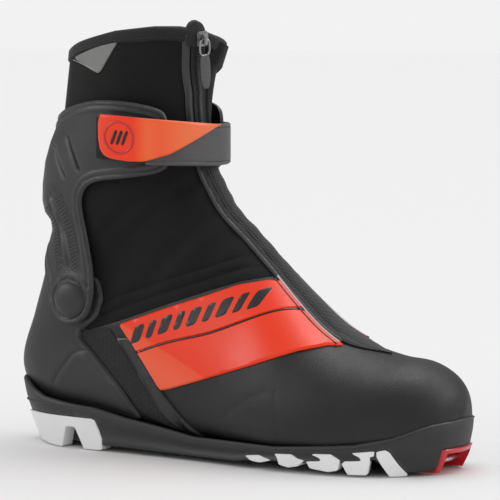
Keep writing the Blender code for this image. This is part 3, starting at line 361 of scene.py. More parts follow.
class Patch:
    """Faces over two parameters, split along the lines where a feature begins or ends."""

    def __init__(self, first, second):
        self.at = np.stack(np.meshgrid(first, second, indexing="ij"), -1).reshape(-1, 2)
        self.faces = grid_faces(len(first), len(second)).tolist()

    def split(self, field, *levels, keep=0):
        """Cut along field = level. keep 1 drops the low side, and -1 the high side."""
        for level in levels:
            value = field(self.at) - level
            value[np.abs(value) < 1e-4] = 1e-4
            high = (value > 0).tolist()
            added, made, faces = [], {}, []
            for face in self.faces:
                marks = [high[k] for k in face]
                if all(marks) or not any(marks):
                    if keep == 0 or (keep > 0) == marks[0]:
                        faces.append(face)
                    continue
                halves = ([], [])
                for i, j in zip(face, face[1:] + face[:1]):
                    halves[high[i]].append(i)
                    if high[i] == high[j]:
                        continue
                    key = (i, j) if i < j else (j, i)
                    if key not in made:
                        t = value[i] / (value[i] - value[j])
                        made[key] = len(self.at) + len(added)
                        added.append(self.at[i] + (self.at[j] - self.at[i]) * t)
                    halves[0].append(made[key])
                    halves[1].append(made[key])
                faces += [halves[1]] * (keep >= 0) + [halves[0]] * (keep <= 0)
            if added:
                self.at = np.vstack([self.at, added])
            self.faces = faces
        return self

    def weld_seam(self):
        """Join the last column to the first, where the angle closes on itself."""
        seen, swap = {}, {}
        for k, (first, second) in enumerate(self.at):
            if abs(abs(second) - 180.0) < 1e-7:
                key = round(first, 5)
                swap[k] = seen.setdefault(key, k)
        self.faces = [[swap.get(k, k) for k in face] for face in self.faces]
        return self

    def solid(self, name, place, outer, inner, body, look, paint=None, cap=False, smooth=40):
        """Closed piece between two offsets, each a number or a function of the parameters."""
        used = sorted({k for face in self.faces for k in face})
        order = {k: n for n, k in enumerate(used)}
        at = self.at[used]
        faces = [[order[k] for k in face] for face in self.faces]
        walls = [place(at, depth(at) if callable(depth) else depth) for depth in (outer, inner)]
        shift = len(at)
        directed = {(i, j) for face in faces for i, j in zip(face, face[1:] + face[:1])}
        border = [(i, j) for i, j in directed if (j, i) not in directed]
        built = [face[::-1] for face in faces] + [[k + shift for k in face] for face in faces]
        if cap:
            first = at[:, 0].min() + 1e-6
            ring = sorted({i for pair in border for i in pair if at[i, 0] < first},
                          key=lambda k: at[k, 1])
            built += [ring, [k + shift for k in reversed(ring)]]
            border = [(i, j) for i, j in border if at[i, 0] > first or at[j, 0] > first]
        built += [[i, j, j + shift, i + shift] for i, j in border]
        piece = new_piece(name, np.concatenate(walls), built, body, look, smooth)
        if paint:
            values = np.tile(paint(at), 2)
            mark = piece.data.attributes.new("detail", "FLOAT", "POINT")
            mark.data.foreach_set("value", values.astype(np.float32))
        return piece


def show(made):
    """Put an object in the scene."""
    bpy.context.scene.collection.objects.link(made)
    return made


def remove(*pieces):
    """Take working pieces out again."""
    for piece in pieces:
        bpy.data.objects.remove(piece)


def new_piece(name, corners, faces, body, look, smooth=40):
    """Object from corners in millimetres. body is None for a piece that stays unattached."""
    mesh = bpy.data.meshes.new(name)
    mesh.from_pydata((np.asarray(corners, float) * MM).tolist(), [], faces)
    mesh.validate()
    work = bmesh.new()
    work.from_mesh(mesh)
    bmesh.ops.recalc_face_normals(work, faces=work.faces)
    work.to_mesh(mesh)
    work.free()
    mesh.shade_smooth()
    mesh.set_sharp_from_angle(angle=math.radians(smooth))
    piece = show(bpy.data.objects.new(name, mesh))
    finish_piece(piece, look)
    if body:
        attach(piece, body)
    return piece


def finish_piece(piece, look):
    """Give a piece its material."""
    slot, shader = look
    piece.data.materials.clear()
    piece.data.materials.append(shader)


def join_parts(parts):
    """Corners and faces of several separate bodies as one list."""
    corners, faces, shift = [], [], 0
    for some_corners, some_faces in parts:
        corners.append(np.asarray(some_corners, float))
        faces += [[k + shift for k in face] for face in some_faces]
        shift += len(some_corners)
    return np.concatenate(corners), faces


def ring_faces(rows, cols, closed=False):
    """Quads between rows of points in rings, with flat ends unless the rows close."""
    faces = [[r * cols + c, r * cols + (c + 1) % cols, (r + 1) % rows * cols + (c + 1) % cols,
              (r + 1) % rows * cols + c] for r in range(rows - (not closed)) for c in range(cols)]
    if not closed:
        faces += [list(range(cols)), [rows * cols - 1 - c for c in range(cols)]]
    return faces


def circle(count):
    """Unit circle as rows of cosine and sine."""
    turn = np.linspace(0, 2 * math.pi, count, endpoint=False)
    return np.stack([np.cos(turn), np.sin(turn)], -1)


def tube(path, radius, sides=8, closed=False, taper=0.0):
    """Round tube along points, with tapered ends when taper is above 0."""
    path = np.asarray(path, float)
    ahead = np.roll(path, -1, axis=0) - np.roll(path, 1, axis=0)
    if not closed:
        ahead[0], ahead[-1] = path[1] - path[0], path[-1] - path[-2]
    ahead /= np.linalg.norm(ahead, axis=1, keepdims=True) + 1e-12
    guide = np.array([0.12, 1.0, 0.2])
    across = np.cross(ahead, guide)
    across /= np.linalg.norm(across, axis=1, keepdims=True) + 1e-12
    upward = np.cross(across, ahead)
    c, s = np.moveaxis(circle(sides)[None, :, :, None], 2, 0)
    size = np.full(len(path), float(radius))
    if taper:
        size[0] = size[-1] = radius * taper
    ring = (across[:, None] * c + upward[:, None] * s) * size[:, None, None]
    corners = (path[:, None] + ring).reshape(-1, 3)
    return corners, ring_faces(len(path), sides, closed)


def run_along(line):
    """Distance run at each point of a line."""
    return np.concatenate([[0], np.cumsum(np.linalg.norm(np.diff(line, axis=0), axis=1))])


def points_at(line, run, places):
    """Points of a line where it has run these distances."""
    return np.stack([np.interp(places, run, column) for column in line.T], -1)


def along(line, step):
    """Points at about equal steps along a line of any dimension."""
    line = np.array(line, float)
    run = run_along(line)
    return points_at(line, run, np.linspace(0, run[-1], max(2, int(round(run[-1] / step)) + 1)))


def stitches(name, path, body, look, pitch=3.2, length=2.1, radius=0.28):
    """Row of sewn stitches along points on a surface."""
    path = along(path, 0.35)
    run = run_along(path)
    parts = [tube(points_at(path, run, np.linspace(start, start + length, 4)), radius, 6,
                  taper=0.45) for start in np.arange(0.4, run[-1] - length, pitch)]
    return new_piece(name, *join_parts(parts), body, look, smooth=80)


def side_path(line, side, offset, step=2.0):
    """Points over a side-view line on the form."""
    places = np.array([locate(*point) for point in along(line, step)])
    places[:, 1] *= side
    return on_form(places, offset)


# Materials

class Graph:
    """Node tree of a material or of the world."""

    def __init__(self, owner):
        owner.use_nodes = True
        self.nodes, self.links = owner.node_tree.nodes, owner.node_tree.links

    def feed(self, node, inputs):
        """Set a node's inputs from sockets, numbers or colours."""
        for slot, value in inputs.items():
            if isinstance(value, bpy.types.NodeSocket):
                self.links.new(value, node.inputs[slot])
            else:
                colour = isinstance(value, tuple)
                node.inputs[slot].default_value = (*value, 1.0) if colour else value
        return node.outputs

    def add(self, kind, inputs, **fields):
        """Outputs of a new node."""
        node = self.nodes.new("ShaderNode" + kind)
        for field, value in fields.items():
            setattr(node, field, value)
        return self.feed(node, inputs)

    def math(self, operation, *values):
        """Result of a math node. Inputs not given keep their default, 0.5."""
        return self.add("Math", dict(enumerate(values)), operation=operation)[0]

    def mix(self, share, first, second):
        """Blend of two colours."""
        return self.add("Mix", {0: share, 6: first, 7: second}, data_type="RGBA")[2]

    def noise(self, where, scale, detail=3.0):
        """Soft noise from 0 to 1."""
        return self.add("TexNoise", {"Vector": where, "Scale": scale, "Detail": detail,
                                     "Roughness": 0.55})["Fac"]

    def ramp(self, value, *stops):
        """Colour ramp. Stops are (position, grey or colour)."""
        node = self.nodes.new("ShaderNodeValToRGB")
        band = node.color_ramp
        while len(band.elements) < len(stops):
            band.elements.new(0.5)
        for element, (place, shade) in zip(band.elements, stops):
            element.position = place
            element.color = (*(shade if isinstance(shade, tuple) else (shade,) * 3), 1.0)
        return self.feed(node, {"Fac": value})["Color"]

    def wave(self, axes, weights, pitch):
        """Cosine along a direction in the piece's own frame, pitch in metres."""
        parts = [self.math("MULTIPLY", axis, weight * 2 * math.pi / pitch)
                 for axis, weight in zip(axes, weights) if weight]
        total = parts[0]
        for part in parts[1:]:
            total = self.math("ADD", total, part)
        return self.math("COSINE", total)

    def pattern(self, where, kind, pitch):
        """Height field from 0 to 1 of a fabric or moulded surface."""
        if kind == "grain":
            return self.add("TexVoronoi", {"Vector": where, "Scale": 1 / pitch})["Distance"]
        axes = self.add("SeparateXYZ", {0: where})
        waves = [self.wave(axes, weights, pitch * scale) for weights, scale in WEAVES[kind]]
        if kind == "twill":
            return self.math("MULTIPLY_ADD", self.math("MULTIPLY", *waves), 0.5)
        total = waves[0]
        for wave in waves[1:]:
            total = self.math("ADD", total, wave)
        low = 1.5 if kind == "hex" else 2.0
        return self.math("DIVIDE", self.math("ADD", total, low), low + len(waves))


# Directions and pitch scales of each weave's waves
WEAVES = {
    "hex": (((1, 0, 0), 1), ((0.5, 0, 0.866), 1), ((0.5, 0, -0.866), 1)),
    "twill": (((0.7, 0.35, 0.7), 1), ((0.7, 0.35, -0.7), 1.9)),
    "webbing": (((0, 0, 1), 1), ((0.8, 0.8, 0), 0.8)),
}


def panel_painted_highlight(graph, where, base):
    """Painted highlight: lighter colour on the lower rear of the side panel, with a diagonal edge,
    where the glossy panel catches light.
    """
    x, _, z = graph.add("SeparateXYZ", {0: where})
    total = graph.math("ADD", graph.math("MULTIPLY_ADD", x, 0.45, 0.0), z)
    share = graph.ramp(graph.math("MULTIPLY", total, 10.0), (0.38, 0.8), (0.50, 0.45),
                       (0.515, 0.0))
    return graph.mix(share, base, (1.0, 0.21, 0.09))


def pull_painted_highlight(graph, where, base):
    """Painted highlight: the pull turns paler towards its tip, with a soft lighter band across it,
    where light catches the glossy rubber.
    """
    x = graph.add("SeparateXYZ", {0: where})[0]
    share = graph.ramp(graph.math("MULTIPLY_ADD", x, 10.0, 1.0), (0.30, 0.15), (0.42, 0.0),
                       (0.56, 0.05), (0.64, 0.75), (0.70, 0.55), (0.80, 1.0))
    return graph.mix(share, base, (1.0, 0.26, 0.08))


def finish(name, colour, roughness, kind="grain", pitch=0.0008, depth=0.12, tint=0.25,
           wear=0.0, metallic=0.0, sheen=0.0, coat=0.0, coat_roughness=0.2, dots=0.0,
           specular=0.5, second=None):
    """Procedural finish: colour drift, worn edges, fine relief and uneven roughness, with painted
    shade on stud strips and painted highlights given through second.
    """
    made = bpy.data.materials.new(name)
    graph = Graph(made)
    where = graph.add("TexCoord", {})["Object"]
    dark = tuple(c * (1 - tint) for c in colour)
    light = tuple(min(1.0, c * (1 + tint)) for c in colour)
    base = graph.ramp(graph.noise(where, 26.0), (0.3, dark), (0.7, light))
    # Painted highlights of the orange panel and the pull are mixed into the base colour here,
    # through second.
    if second:
        base = second(graph, where, base)
    base = graph.mix(0.35, base, graph.mix(graph.noise(where, 900.0, 2.0), dark, light))
    # Painted shade: the stud strips are darkened to stand in for the shade between the studs.
    if dots:
        stud_relief_and_shade_mask = graph.add("Attribute", {}, attribute_name="detail")["Fac"]
        base = graph.mix(graph.math("MULTIPLY", stud_relief_and_shade_mask, 0.75), base,
                         tuple(c * 0.25 for c in colour))
    if wear:
        edge = graph.add("NewGeometry", {})["Pointiness"]
        base = graph.mix(graph.ramp(edge, (0.5, 0.0), (0.56, wear)), base,
                         tuple(min(1.0, c * 2.2 + 0.03) for c in colour))
    uneven = graph.add("MapRange", {"Value": graph.noise(where, 140.0, 4.0),
                                    "To Min": max(0.02, roughness - 0.07),
                                    "To Max": min(1.0, roughness + 0.07)})[0]
    height = graph.pattern(where, kind, pitch)
    if dots:
        studs = graph.math("MULTIPLY", graph.pattern(where, "hex", dots), stud_relief_and_shade_mask)
        height = graph.math("ADD", height, graph.math("MULTIPLY", studs, 3.0))
    relief = graph.add("Bump", {"Strength": min(1.0, depth * 4), "Distance": 0.00025,
                                "Height": height})[0]
    graph.feed(graph.nodes["Principled BSDF"], {
        "Base Color": base, "Roughness": uneven, "Normal": relief, "Metallic": metallic,
        "Sheen Weight": sheen, "Sheen Roughness": 0.4, "Coat Weight": coat,
        "Coat Roughness": coat_roughness, "Specular IOR Level": specular})
    return made


def make_finishes():
    """Every finish of the boot: the record's slot and the material."""
    black, wide = (0.020, 0.020, 0.021), dict(pitch=0.0009, depth=0.02, tint=0.05)
    gloss = dict(coat=0.10, coat_roughness=0.3, specular=0.3, **wide)
    rows = {
        "upper": ("upper_laminate", "upper_laminate", (0.020, 0.020, 0.020), 0.50,
                  dict(pitch=0.0006, depth=0.10, wear=0.2, specular=0.3)),
        "shell": ("softshell", "softshell", (0.0085, 0.0085, 0.0090), 0.72,
                  dict(kind="twill", pitch=0.0011, depth=0.10, sheen=0.04, specular=0.16)),
        "tongue": ("softshell", "stretch_fabric", black, 0.75,
                   dict(kind="twill", pitch=0.0016, depth=0.22, sheen=0.2, specular=0.3)),
        "piping": ("webbing_black", "piping", (0.026, 0.026, 0.028), 0.50,
                   dict(pitch=0.0007, depth=0.08, wear=0.3)),
        "lining": ("lining", "lining", (0.022, 0.022, 0.024), 0.95,
                   dict(pitch=0.0013, depth=0.24, sheen=0.35, specular=0.15)),
        "binding": ("webbing_black", "binding", (0.014, 0.014, 0.015), 0.72,
                    dict(kind="webbing", pitch=0.0012, depth=0.16, sheen=0.12, specular=0.3)),
        "counter": ("counter_plastic", "counter_plastic", (0.0175, 0.0175, 0.0185), 0.48,
                    dict(pitch=0.0005, depth=0.07, wear=0.3)),
        # The cuff's stud strips get painted shade through dots.
        "cuff": ("cuff_plastic", "cuff_plastic", (0.026, 0.026, 0.027), 0.46,
                 dict(pitch=0.0005, depth=0.07, wear=0.5, dots=0.0021, specular=0.4)),
        # The orange panel gets a painted highlight on its lower rear.
        "orange": ("orange_panel", "orange_panel", (1.0, 0.042, 0.004), 0.42,
                   dict(second=panel_painted_highlight, **gloss)),
        # The pull gets painted highlights towards its tip.
        "pull": ("orange_panel", "orange_rubber", (1.0, 0.045, 0.006), 0.36,
                 dict(second=pull_painted_highlight, **gloss)),
        "facing": ("facing_black", "facing_black", (0.016, 0.016, 0.019), 0.42,
                   dict(pitch=0.0006, depth=0.05, wear=0.4)),
        "mesh": ("mesh_black", "mesh_black", black, 0.78,
                 dict(kind="hex", pitch=0.0031, depth=0.5, sheen=0.1, specular=0.3)),
        "sole": ("sole_rubber", "sole_rubber", (0.022, 0.022, 0.023), 0.55,
                 dict(pitch=0.0007, depth=0.08, wear=0.35)),
        "tread": ("tread_white", "tread_white", (0.90, 0.90, 0.91), 0.42,
                  dict(pitch=0.0012, depth=0.05, tint=0.05, coat=0.1)),
        "insert": ("insert_red", "insert_red", (0.62, 0.012, 0.018), 0.35,
                   dict(pitch=0.001, depth=0.03, tint=0.08, coat=0.3)),
        "steel": ("steel", "steel", (0.60, 0.60, 0.60), 0.24,
                  dict(pitch=0.0006, depth=0.03, tint=0.08, metallic=1.0)),
        "gunmetal": ("steel", "gunmetal", (0.20, 0.20, 0.20), 0.33,
                     dict(pitch=0.0006, depth=0.03, tint=0.1, wear=0.3, metallic=1.0)),
        "tab": ("strap_webbing", "tab_rubber", (0.085, 0.083, 0.083), 0.5,
                dict(pitch=0.0006, depth=0.06)),
        "shank": ("shank_carbon", "shank_carbon", black, 0.30,
                  dict(kind="twill", pitch=0.0024, depth=0.1, coat=0.4)),
        "strap": ("strap_webbing", "strap_webbing", (0.066, 0.063, 0.065), 0.62,
                  dict(kind="webbing", pitch=0.0009, depth=0.10, sheen=0.12, wear=0.2)),
        "reflective": ("reflective", "reflective", (0.17, 0.17, 0.16), 0.40,
                       dict(pitch=0.0005, depth=0.16, tint=0.2, sheen=0.2)),
        "mark": ("facing_black", "printed_dark", (0.018, 0.016, 0.018), 0.38,
                 dict(pitch=0.0008, depth=0.02)),
        "light_mark": ("tread_white", "printed_light", (0.60, 0.60, 0.60), 0.5,
                       dict(pitch=0.0008, depth=0.03, tint=0.05)),
        "red_mark": ("insert_red", "printed_red", (0.60, 0.02, 0.03), 0.45,
                     dict(pitch=0.0008, depth=0.03, tint=0.05)),
        "thread": ("webbing_black", "thread", (0.018, 0.018, 0.019), 0.6,
                   dict(pitch=0.0004, depth=0.1)),
    }
    return {look: (slot, finish(name, colour, roughness, **rest))
            for look, (slot, name, colour, roughness, rest) in rows.items()}


LOOK = make_finishes()


# Upper

def form_grid(first_u, last_u, step_u, first_a, last_a, step_a):
    """Patch of the form between two stations and two angles."""
    rows = int(round((last_u - first_u) / step_u)) + 1
    cols = int(round((last_a - first_a) / step_a)) + 1
    turns = np.linspace(first_a, last_a, cols)
    low, high = sorted((first_a, last_a))
    close = np.array([0.01, 0.05, 0.15, 0.35, 0.7, 1.2])   # the form turns fast beside 90
    extra = np.concatenate([side * 90 + sign * close for side in (-1, 1) for sign in (-1, 1)])
    turns = np.unique(np.concatenate([turns, extra[(extra > low) & (extra < high)]]))
    turns = turns[np.append(True, np.diff(turns) > 0.004)]
    return Patch(np.linspace(first_u, last_u, rows), turns if last_a > first_a else turns[::-1])


def flex_folds(at, strength):
    """Soft uneven folds where fabric bends, strongest over the instep."""
    u, a = at.T
    zone = ease(u, 8.5, 10.5) * (1 - ease(u, 13.5, 15.5))
    wave = np.sin(u * 5.2 + a * 0.035) + 0.6 * np.sin(u * 8.3 - a * 0.05 + 1.0)
    return strength * zone * wave * np.exp(-(np.abs(np.abs(a) - 45) / 45) ** 2)


def add_vamp():
    """Laminated shoe upper with its toe creases and the seam line over the sole."""
    below = np.array([*SPLIT_LINE, (180, 150), (180, -40), (-190, -40)], float)
    outline = outline_field(on_form, below)
    creases = [line_field(on_form, rounded(line, 2, False)) for line in TOE_CREASES]
    patch = form_grid(-0.96, 14.2, 0.12, -180, 180, 2.5)
    patch.split(outline, 0.15, keep=1)
    throat = lambda at: np.maximum(np.abs(at[:, 1]) - 16.0, (6.3 - at[:, 0]) * 12)
    patch.split(throat, 0.0, keep=1)
    for crease in creases:
        patch.split(crease, -0.9, 0.0, 0.9)

    def outer(at):
        depth = -0.25 * (1 - ease(outline(at), 0.15, 1.2))
        for crease in creases:
            depth -= 0.26 * bump(crease(at), 3.4)
        wave = np.sin(at[:, 0] * 4.1 + 0.02 * at[:, 1]) * ease(at[:, 0], 4.5, 6) \
            * (1 - ease(at[:, 0], 7.5, 9))
        return depth + 0.16 * wave * ease(np.abs(at[:, 1]), 20, 50)
    patch.weld_seam()
    piece = patch.solid("vamp_upper", on_form, outer, -1.4, "boot", LOOK["upper"], cap=True)
    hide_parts("vamp")


def above_split(shift):
    """Side-view line a height above the seam where the gaiter is sewn to the shoe."""
    line = np.array(SPLIT_LINE, float)
    x = np.arange(-75, 38, 3.0)
    return np.stack([x, np.interp(x, *line.T) + shift], -1)


def add_gaiter():
    """Softshell gaiter in one piece from the shoe to the collar."""
    above = np.array([*SPLIT_LINE, (120, 320), (-190, 320)], float)
    outline = outline_field(on_form, above)
    lines = [line_field(on_form, above_split(shift)) for shift in (7.5, 15.0)]
    patch = form_grid(8.4, LAST_U, 0.12, -180, 180, 2.5)
    patch.split(outline, 0.15, keep=1)
    front = lambda at: np.maximum(np.abs(at[:, 1]) - 8.0, (at[:, 0] - 12.55) * 12)
    patch.split(front, 0.0, keep=1)
    for line in lines:
        patch.split(line, -0.9, 0.0, 0.9)

    def outer(at):
        u, a = at.T
        zone = ease(np.abs(a), 22, 34) * (1 - ease(np.abs(a), 100, 120))
        depth = -0.2 * (1 - ease(outline(at), 0.15, 1.0))
        for line in lines:
            depth -= 0.75 * bump(line(at), 1.7) * zone
        depth += 0.5 * bump(lines[0](at) - 3.7, 3.6) * zone
        depth += 0.5 * bump(lines[0](at) + 3.6, 3.2) * zone
        ripple = np.sin(a * 0.11 + u * 0.9) * 0.22 + np.sin(a * 0.23 - u * 1.7) * 0.12
        return depth + flex_folds(at, 0.38) + ripple * ease(u, 12, 14)
    patch.weld_seam()
    piece = patch.solid("gaiter", on_form, outer, lambda at: outer(at) - 1.5, None,
                        LOOK["shell"])
    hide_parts("gaiter_lower_lateral", "gaiter_lower_medial", "gaiter_upper")
    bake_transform(piece)


def add_liner():
    """Padded inner boot, and the footbed inside it."""
    patch = form_grid(0.9, 17.75, 0.2, -180, 180, 3.0)
    sector = outline_field(on_form, np.array(
        [(-97, 141), (-97, 203), (-110, 204), (-122, 199), (-170, 190), (-170, 142),
         (-140, 128), (-128, 126), (-118, 128), (-105, 135)], float))
    patch.split(sector, 0.0, keep=-1)

    def outer(at):
        u, a = at.T
        return -2.5 + 0.25 * np.sin(a * 0.16) * ease(u, 10, 12)

    def inner(at):
        u = at[:, 0]
        quilt = bump(np.mod(u * 17 + 60, 14) - 7, 2.2) * ease(u, 11, 12)
        return -5.6 + 0.9 * quilt
    patch.weld_seam()
    liner = patch.solid("inner_boot_liner", on_form, outer, inner, None, LOOK["lining"],
                        cap=True)
    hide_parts("inner_boot")
    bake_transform(liner)
    bed = form_grid(2.6, 11.2, 0.16, 142, 218, 2.0)
    bed = bed.solid("footbed_pad", on_form,
                    lambda at: -7.2 - 0.5 * bump(np.mod(at[:, 0] * 16, 9) - 4.5, 1.0),
                    -9.4, "boot", LOOK["lining"])
    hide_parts("footbed")


def add_orange_panels():
    """Glossy side panels with their groove, and the piping and seam on their front edges."""
    shape = rounded(ORANGE_OUTLINE, 2, share=0.05)
    groove_line = rounded(ORANGE_GROOVE, 2, False)
    outline, groove = outline_field(on_form, shape), line_field(on_form, groove_line)
    stations, angles = np.array(PANEL_EDGE)[::-1].T
    front = lambda at: np.abs(at[:, 1]) - np.interp(at[:, 0], stations, angles) + 0.6
    for side, word in SIDES:
        patch = form_grid(5.4, 13.4, 0.08, 10 * side, 122 * side, 1.6 * side)
        patch.split(outline, 0.0, keep=1)
        patch.split(front, 0.0, keep=1)
        patch.split(outline, 0.35, 0.9)
        patch.split(groove, -1.05, -0.55, 0.55, 1.05)

        def outer(at):
            lift = 0.75 + 1.0 * ease(outline(at), -0.2, 0.9)
            return lift - 0.85 * (1 - ease(np.abs(groove(at)), 0.5, 1.05))
        panel = patch.solid("orange_panel_" + word, on_form, outer, 0.15, "boot",
                            LOOK["orange"], smooth=28)
        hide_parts("quarter_panel_" + word)
        seam = side_path(groove_line[2:-2], side, 0.75, 1.5)
        new_piece("panel_groove_" + word, *tube(seam, 0.62, 8), "boot", LOOK["mark"])
        for name, turn, look in (("edge_piping_", 0.0, "light_mark"), ("edge_seam_", 3.2, "mark")):
            line = rounded(np.array(PANEL_EDGE)[:-2] + (0, turn), 2, False) * (1, side)
            path = on_form(np.concatenate([np.linspace(a, b, 6, endpoint=False)
                                           for a, b in zip(line[:-1], line[1:])]), 1.75)
            new_piece(name + word, *tube(path, 0.45 if turn else 0.5, 8), "boot", LOOK[look])


def slanted_bar(middle, size, lean, rise):
    """Side-view outline of a bar that leans forward and follows the panel's slope."""
    x, z = middle
    width, height = size
    return rounded([(x + i * width / 2 + k * lean, z + k * height / 2 + i * width / 2 * rise)
                    for i, k in ((-1, -1), (1, -1), (1, 1), (-1, 1))], 2, share=0.12)


def bar_badge(outline, side, offset, height, look):
    """Small raised mark on the form."""
    outline = np.asarray(outline, float)
    places = np.array([locate(*point) for point in outline])
    low, high = places.min(0), places.max(0)
    field = outline_field(on_form, outline)
    patch = form_grid(low[0] - 0.08, high[0] + 0.08, 0.05, side * (low[1] - 2),
                      side * (high[1] + 2), side * 1.0)
    patch.split(field, 0.0, keep=1).split(field, 0.25)
    return patch.solid("bar", on_form, lambda at: offset + height * ease(field(at), -0.1, 0.25),
                       offset - 0.2, "boot", look)


def add_bars():
    """Row of plain slanted bars on each side panel."""
    lower, upper = rounded(ORANGE_GROOVE, 1, False), np.array(
        [(-62.4, 76.8), (-24, 89.9), (-6.3, 95.5), (15.9, 103.4), (31, 106.1), (44, 106)])
    middles = np.linspace(-47.5, 30, 9)
    for side, word in SIDES:
        bars = []
        for k, x in enumerate(middles):
            z = (np.interp(x, *lower.T) + np.interp(x + 3, *upper.T)) / 2
            bar = slanted_bar((x, z), (5.2 if k % 2 else 7.4, 11.0), 1.8, 0.34)
            bars.append(bar_badge(bar, side, 1.68, 0.28, LOOK["mark"]))
        merge_pieces("panel_bars_" + word, bars, LOOK["mark"], 40)


def add_side_overlays():
    """Mesh band and facing strip on each side."""
    mesh_field = outline_field(on_form, rounded(MESH_OUTLINE, 1, share=0.1))
    facing_shape = rounded(FACING_OUTLINE, 1, share=0.1)
    facing_field = outline_field(on_form, facing_shape)
    for side, word in SIDES:
        patch = form_grid(8.6, 14.4, 0.12, 40 * side, 170 * side, 2.2 * side)
        patch.split(mesh_field, 0.0, keep=1).split(mesh_field, 0.5)
        band = patch.solid("mesh_band_" + word + "_fabric", on_form,
                           lambda at: 0.55 + 0.35 * ease(mesh_field(at), 0, 3.0), 0.1, "boot",
                           LOOK["mesh"])
        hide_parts("mesh_band_" + word)
        patch = form_grid(8.6, 14.4, 0.10, 40 * side, 170 * side, 2.0 * side)
        patch.split(facing_field, 0.0, keep=1).split(facing_field, 0.35, 1.1, 1.7)

        def outer(at):
            gap = facing_field(at)
            rim = bump(gap - 0.9, 0.9)
            return 0.9 + 0.7 * ease(gap, -0.2, 0.5) + 0.55 * rim
        facing = patch.solid("facing_strip_" + word, on_form, outer, 0.2, "boot",
                             LOOK["facing"])
        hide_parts("facing_" + word)


def add_counter():
    """Moulded heel counter with its crease and rolled edge."""
    outline = outline_field(on_form, rounded(COUNTER_OUTLINE, 2, share=0.15))
    crease = line_field(on_form, rounded(COUNTER_CREASE, 2, False))
    patch = form_grid(8.6, 15.6, 0.1, 30, 330, 2.0)
    patch.split(outline, 0.0, keep=1).split(outline, 0.5, 1.3, 3.4, 4.4)
    patch.split(crease, -0.8, 0.0, 0.8)

    def outer(at):
        gap = outline(at)
        lift = 0.9 + 1.45 * ease(gap, -0.4, 1.5) - 0.3 * bump(gap - 3.9, 1.1) * (gap > 2.8)
        return lift - 0.7 * bump(crease(at), 1.8) + 0.3 * ease(crease(at), -6, 0) * bump(
            crease(at), 12)
    piece = patch.solid("heel_counter_shell", on_form, outer, 0.3, "boot", LOOK["counter"])
    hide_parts("heel_counter")
    return piece


# Throat: tongue, cover and piping

def add_throat():
    """Stretch tongue and the cover over the lace, with its two rolled edges."""
    patch = form_grid(6.4, 12.9, 0.12, -15.4, 15.4, 1.4)
    tongue = patch.solid("tongue_pad", on_form,
                         lambda at: 0.1 + 0.35 * np.sin(at[:, 0] * 6.5) * bump(at[:, 1], 15),
                         -1.9, "boot", LOOK["tongue"])
    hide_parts("tongue")
    for side, word in SIDES:
        stay = form_grid(6.6, 12.0, 0.12, 9.5 * side, 15.0 * side, 0.9 * side)
        stay = stay.solid("eyestay_tape_" + word, on_form, 0.75, 0.3, "boot", LOOK["binding"])
        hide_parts("eyestay_" + word)
    patch = form_grid(4.9, 13.3, 0.1, -15.8, 15.8, 0.8)

    def reach(at):
        """Half angle of the cover, which ends in a point at the toe."""
        return (16.0 - np.abs(at[:, 1])) - 17 * (1 - ease(at[:, 0], 4.9, 7.0)) ** 2
    patch.split(reach, 0.0, keep=1)

    def outer(at):
        u, a = at.T
        crown = 0.5 * bump(a + 3, 13) + 0.22 * np.sin(u * 9 + a * 0.3) * ease(u, 8, 9.5)
        groove = 0.9 * bump(a - 7.5, 1.6) + 0.7 * bump(a + 10.5, 1.6)
        edge = 1 - ease(reach(at), 0, 2.0)
        end = ease(u, 4.9, 6.6)
        return 0.9 + (1.0 + crown - 0.6 * groove - 0.7 * edge) * (0.2 + 0.8 * end)
    cover = patch.solid("lace_cover_flap", on_form, outer, lambda at: outer(at) - 0.8, None,
                        LOOK["tongue"])
    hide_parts("lace_cover")
    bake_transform(cover)
    for side, word in SIDES:
        for turn, lift, radius, look, first in ((15.2, 0.6, 1.4, "piping", 6.4),
                                                (9.0, 1.5, 0.9, "tongue", 6.6)):
            if side < 0 and look == "tongue":
                continue
            u = np.linspace(first, 13.35, 60)
            places = np.stack([u, side * (turn + 0 * u)], -1)
            name = "%s_%s" % ("cover_piping" if look == "piping" else "cover_edge", word)
            edge = new_piece(name, *tube(on_form(places, lift), radius, 12, taper=0.3), None,
                             LOOK[look])
            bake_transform(edge)


# Collar and zip

def collar_line(turn, drop, offset):
    """Points a given height below the collar's edge."""
    edge = np.stack([0 * turn + LAST_U, turn], -1)
    below = edge - np.array([0.1, 0])
    pitch = (form_point(edge)[:, 2] - form_point(below)[:, 2]) / 0.1
    return on_form(np.stack([LAST_U - drop / pitch, turn], -1), offset)


def ring_sweep(name, profile, body, look):
    """Closed ring round the collar from a section of (drop, offset, lift) points."""
    cols = 144
    turn = np.linspace(-180, 180, cols, endpoint=False)
    rows = []
    for drop, offset, lift in profile:
        line = collar_line(turn, drop, offset)
        line[:, 2] += lift
        rows.append(line)
    return new_piece(name, np.concatenate(rows), ring_faces(len(rows), cols, True), body, look,
                     smooth=70)


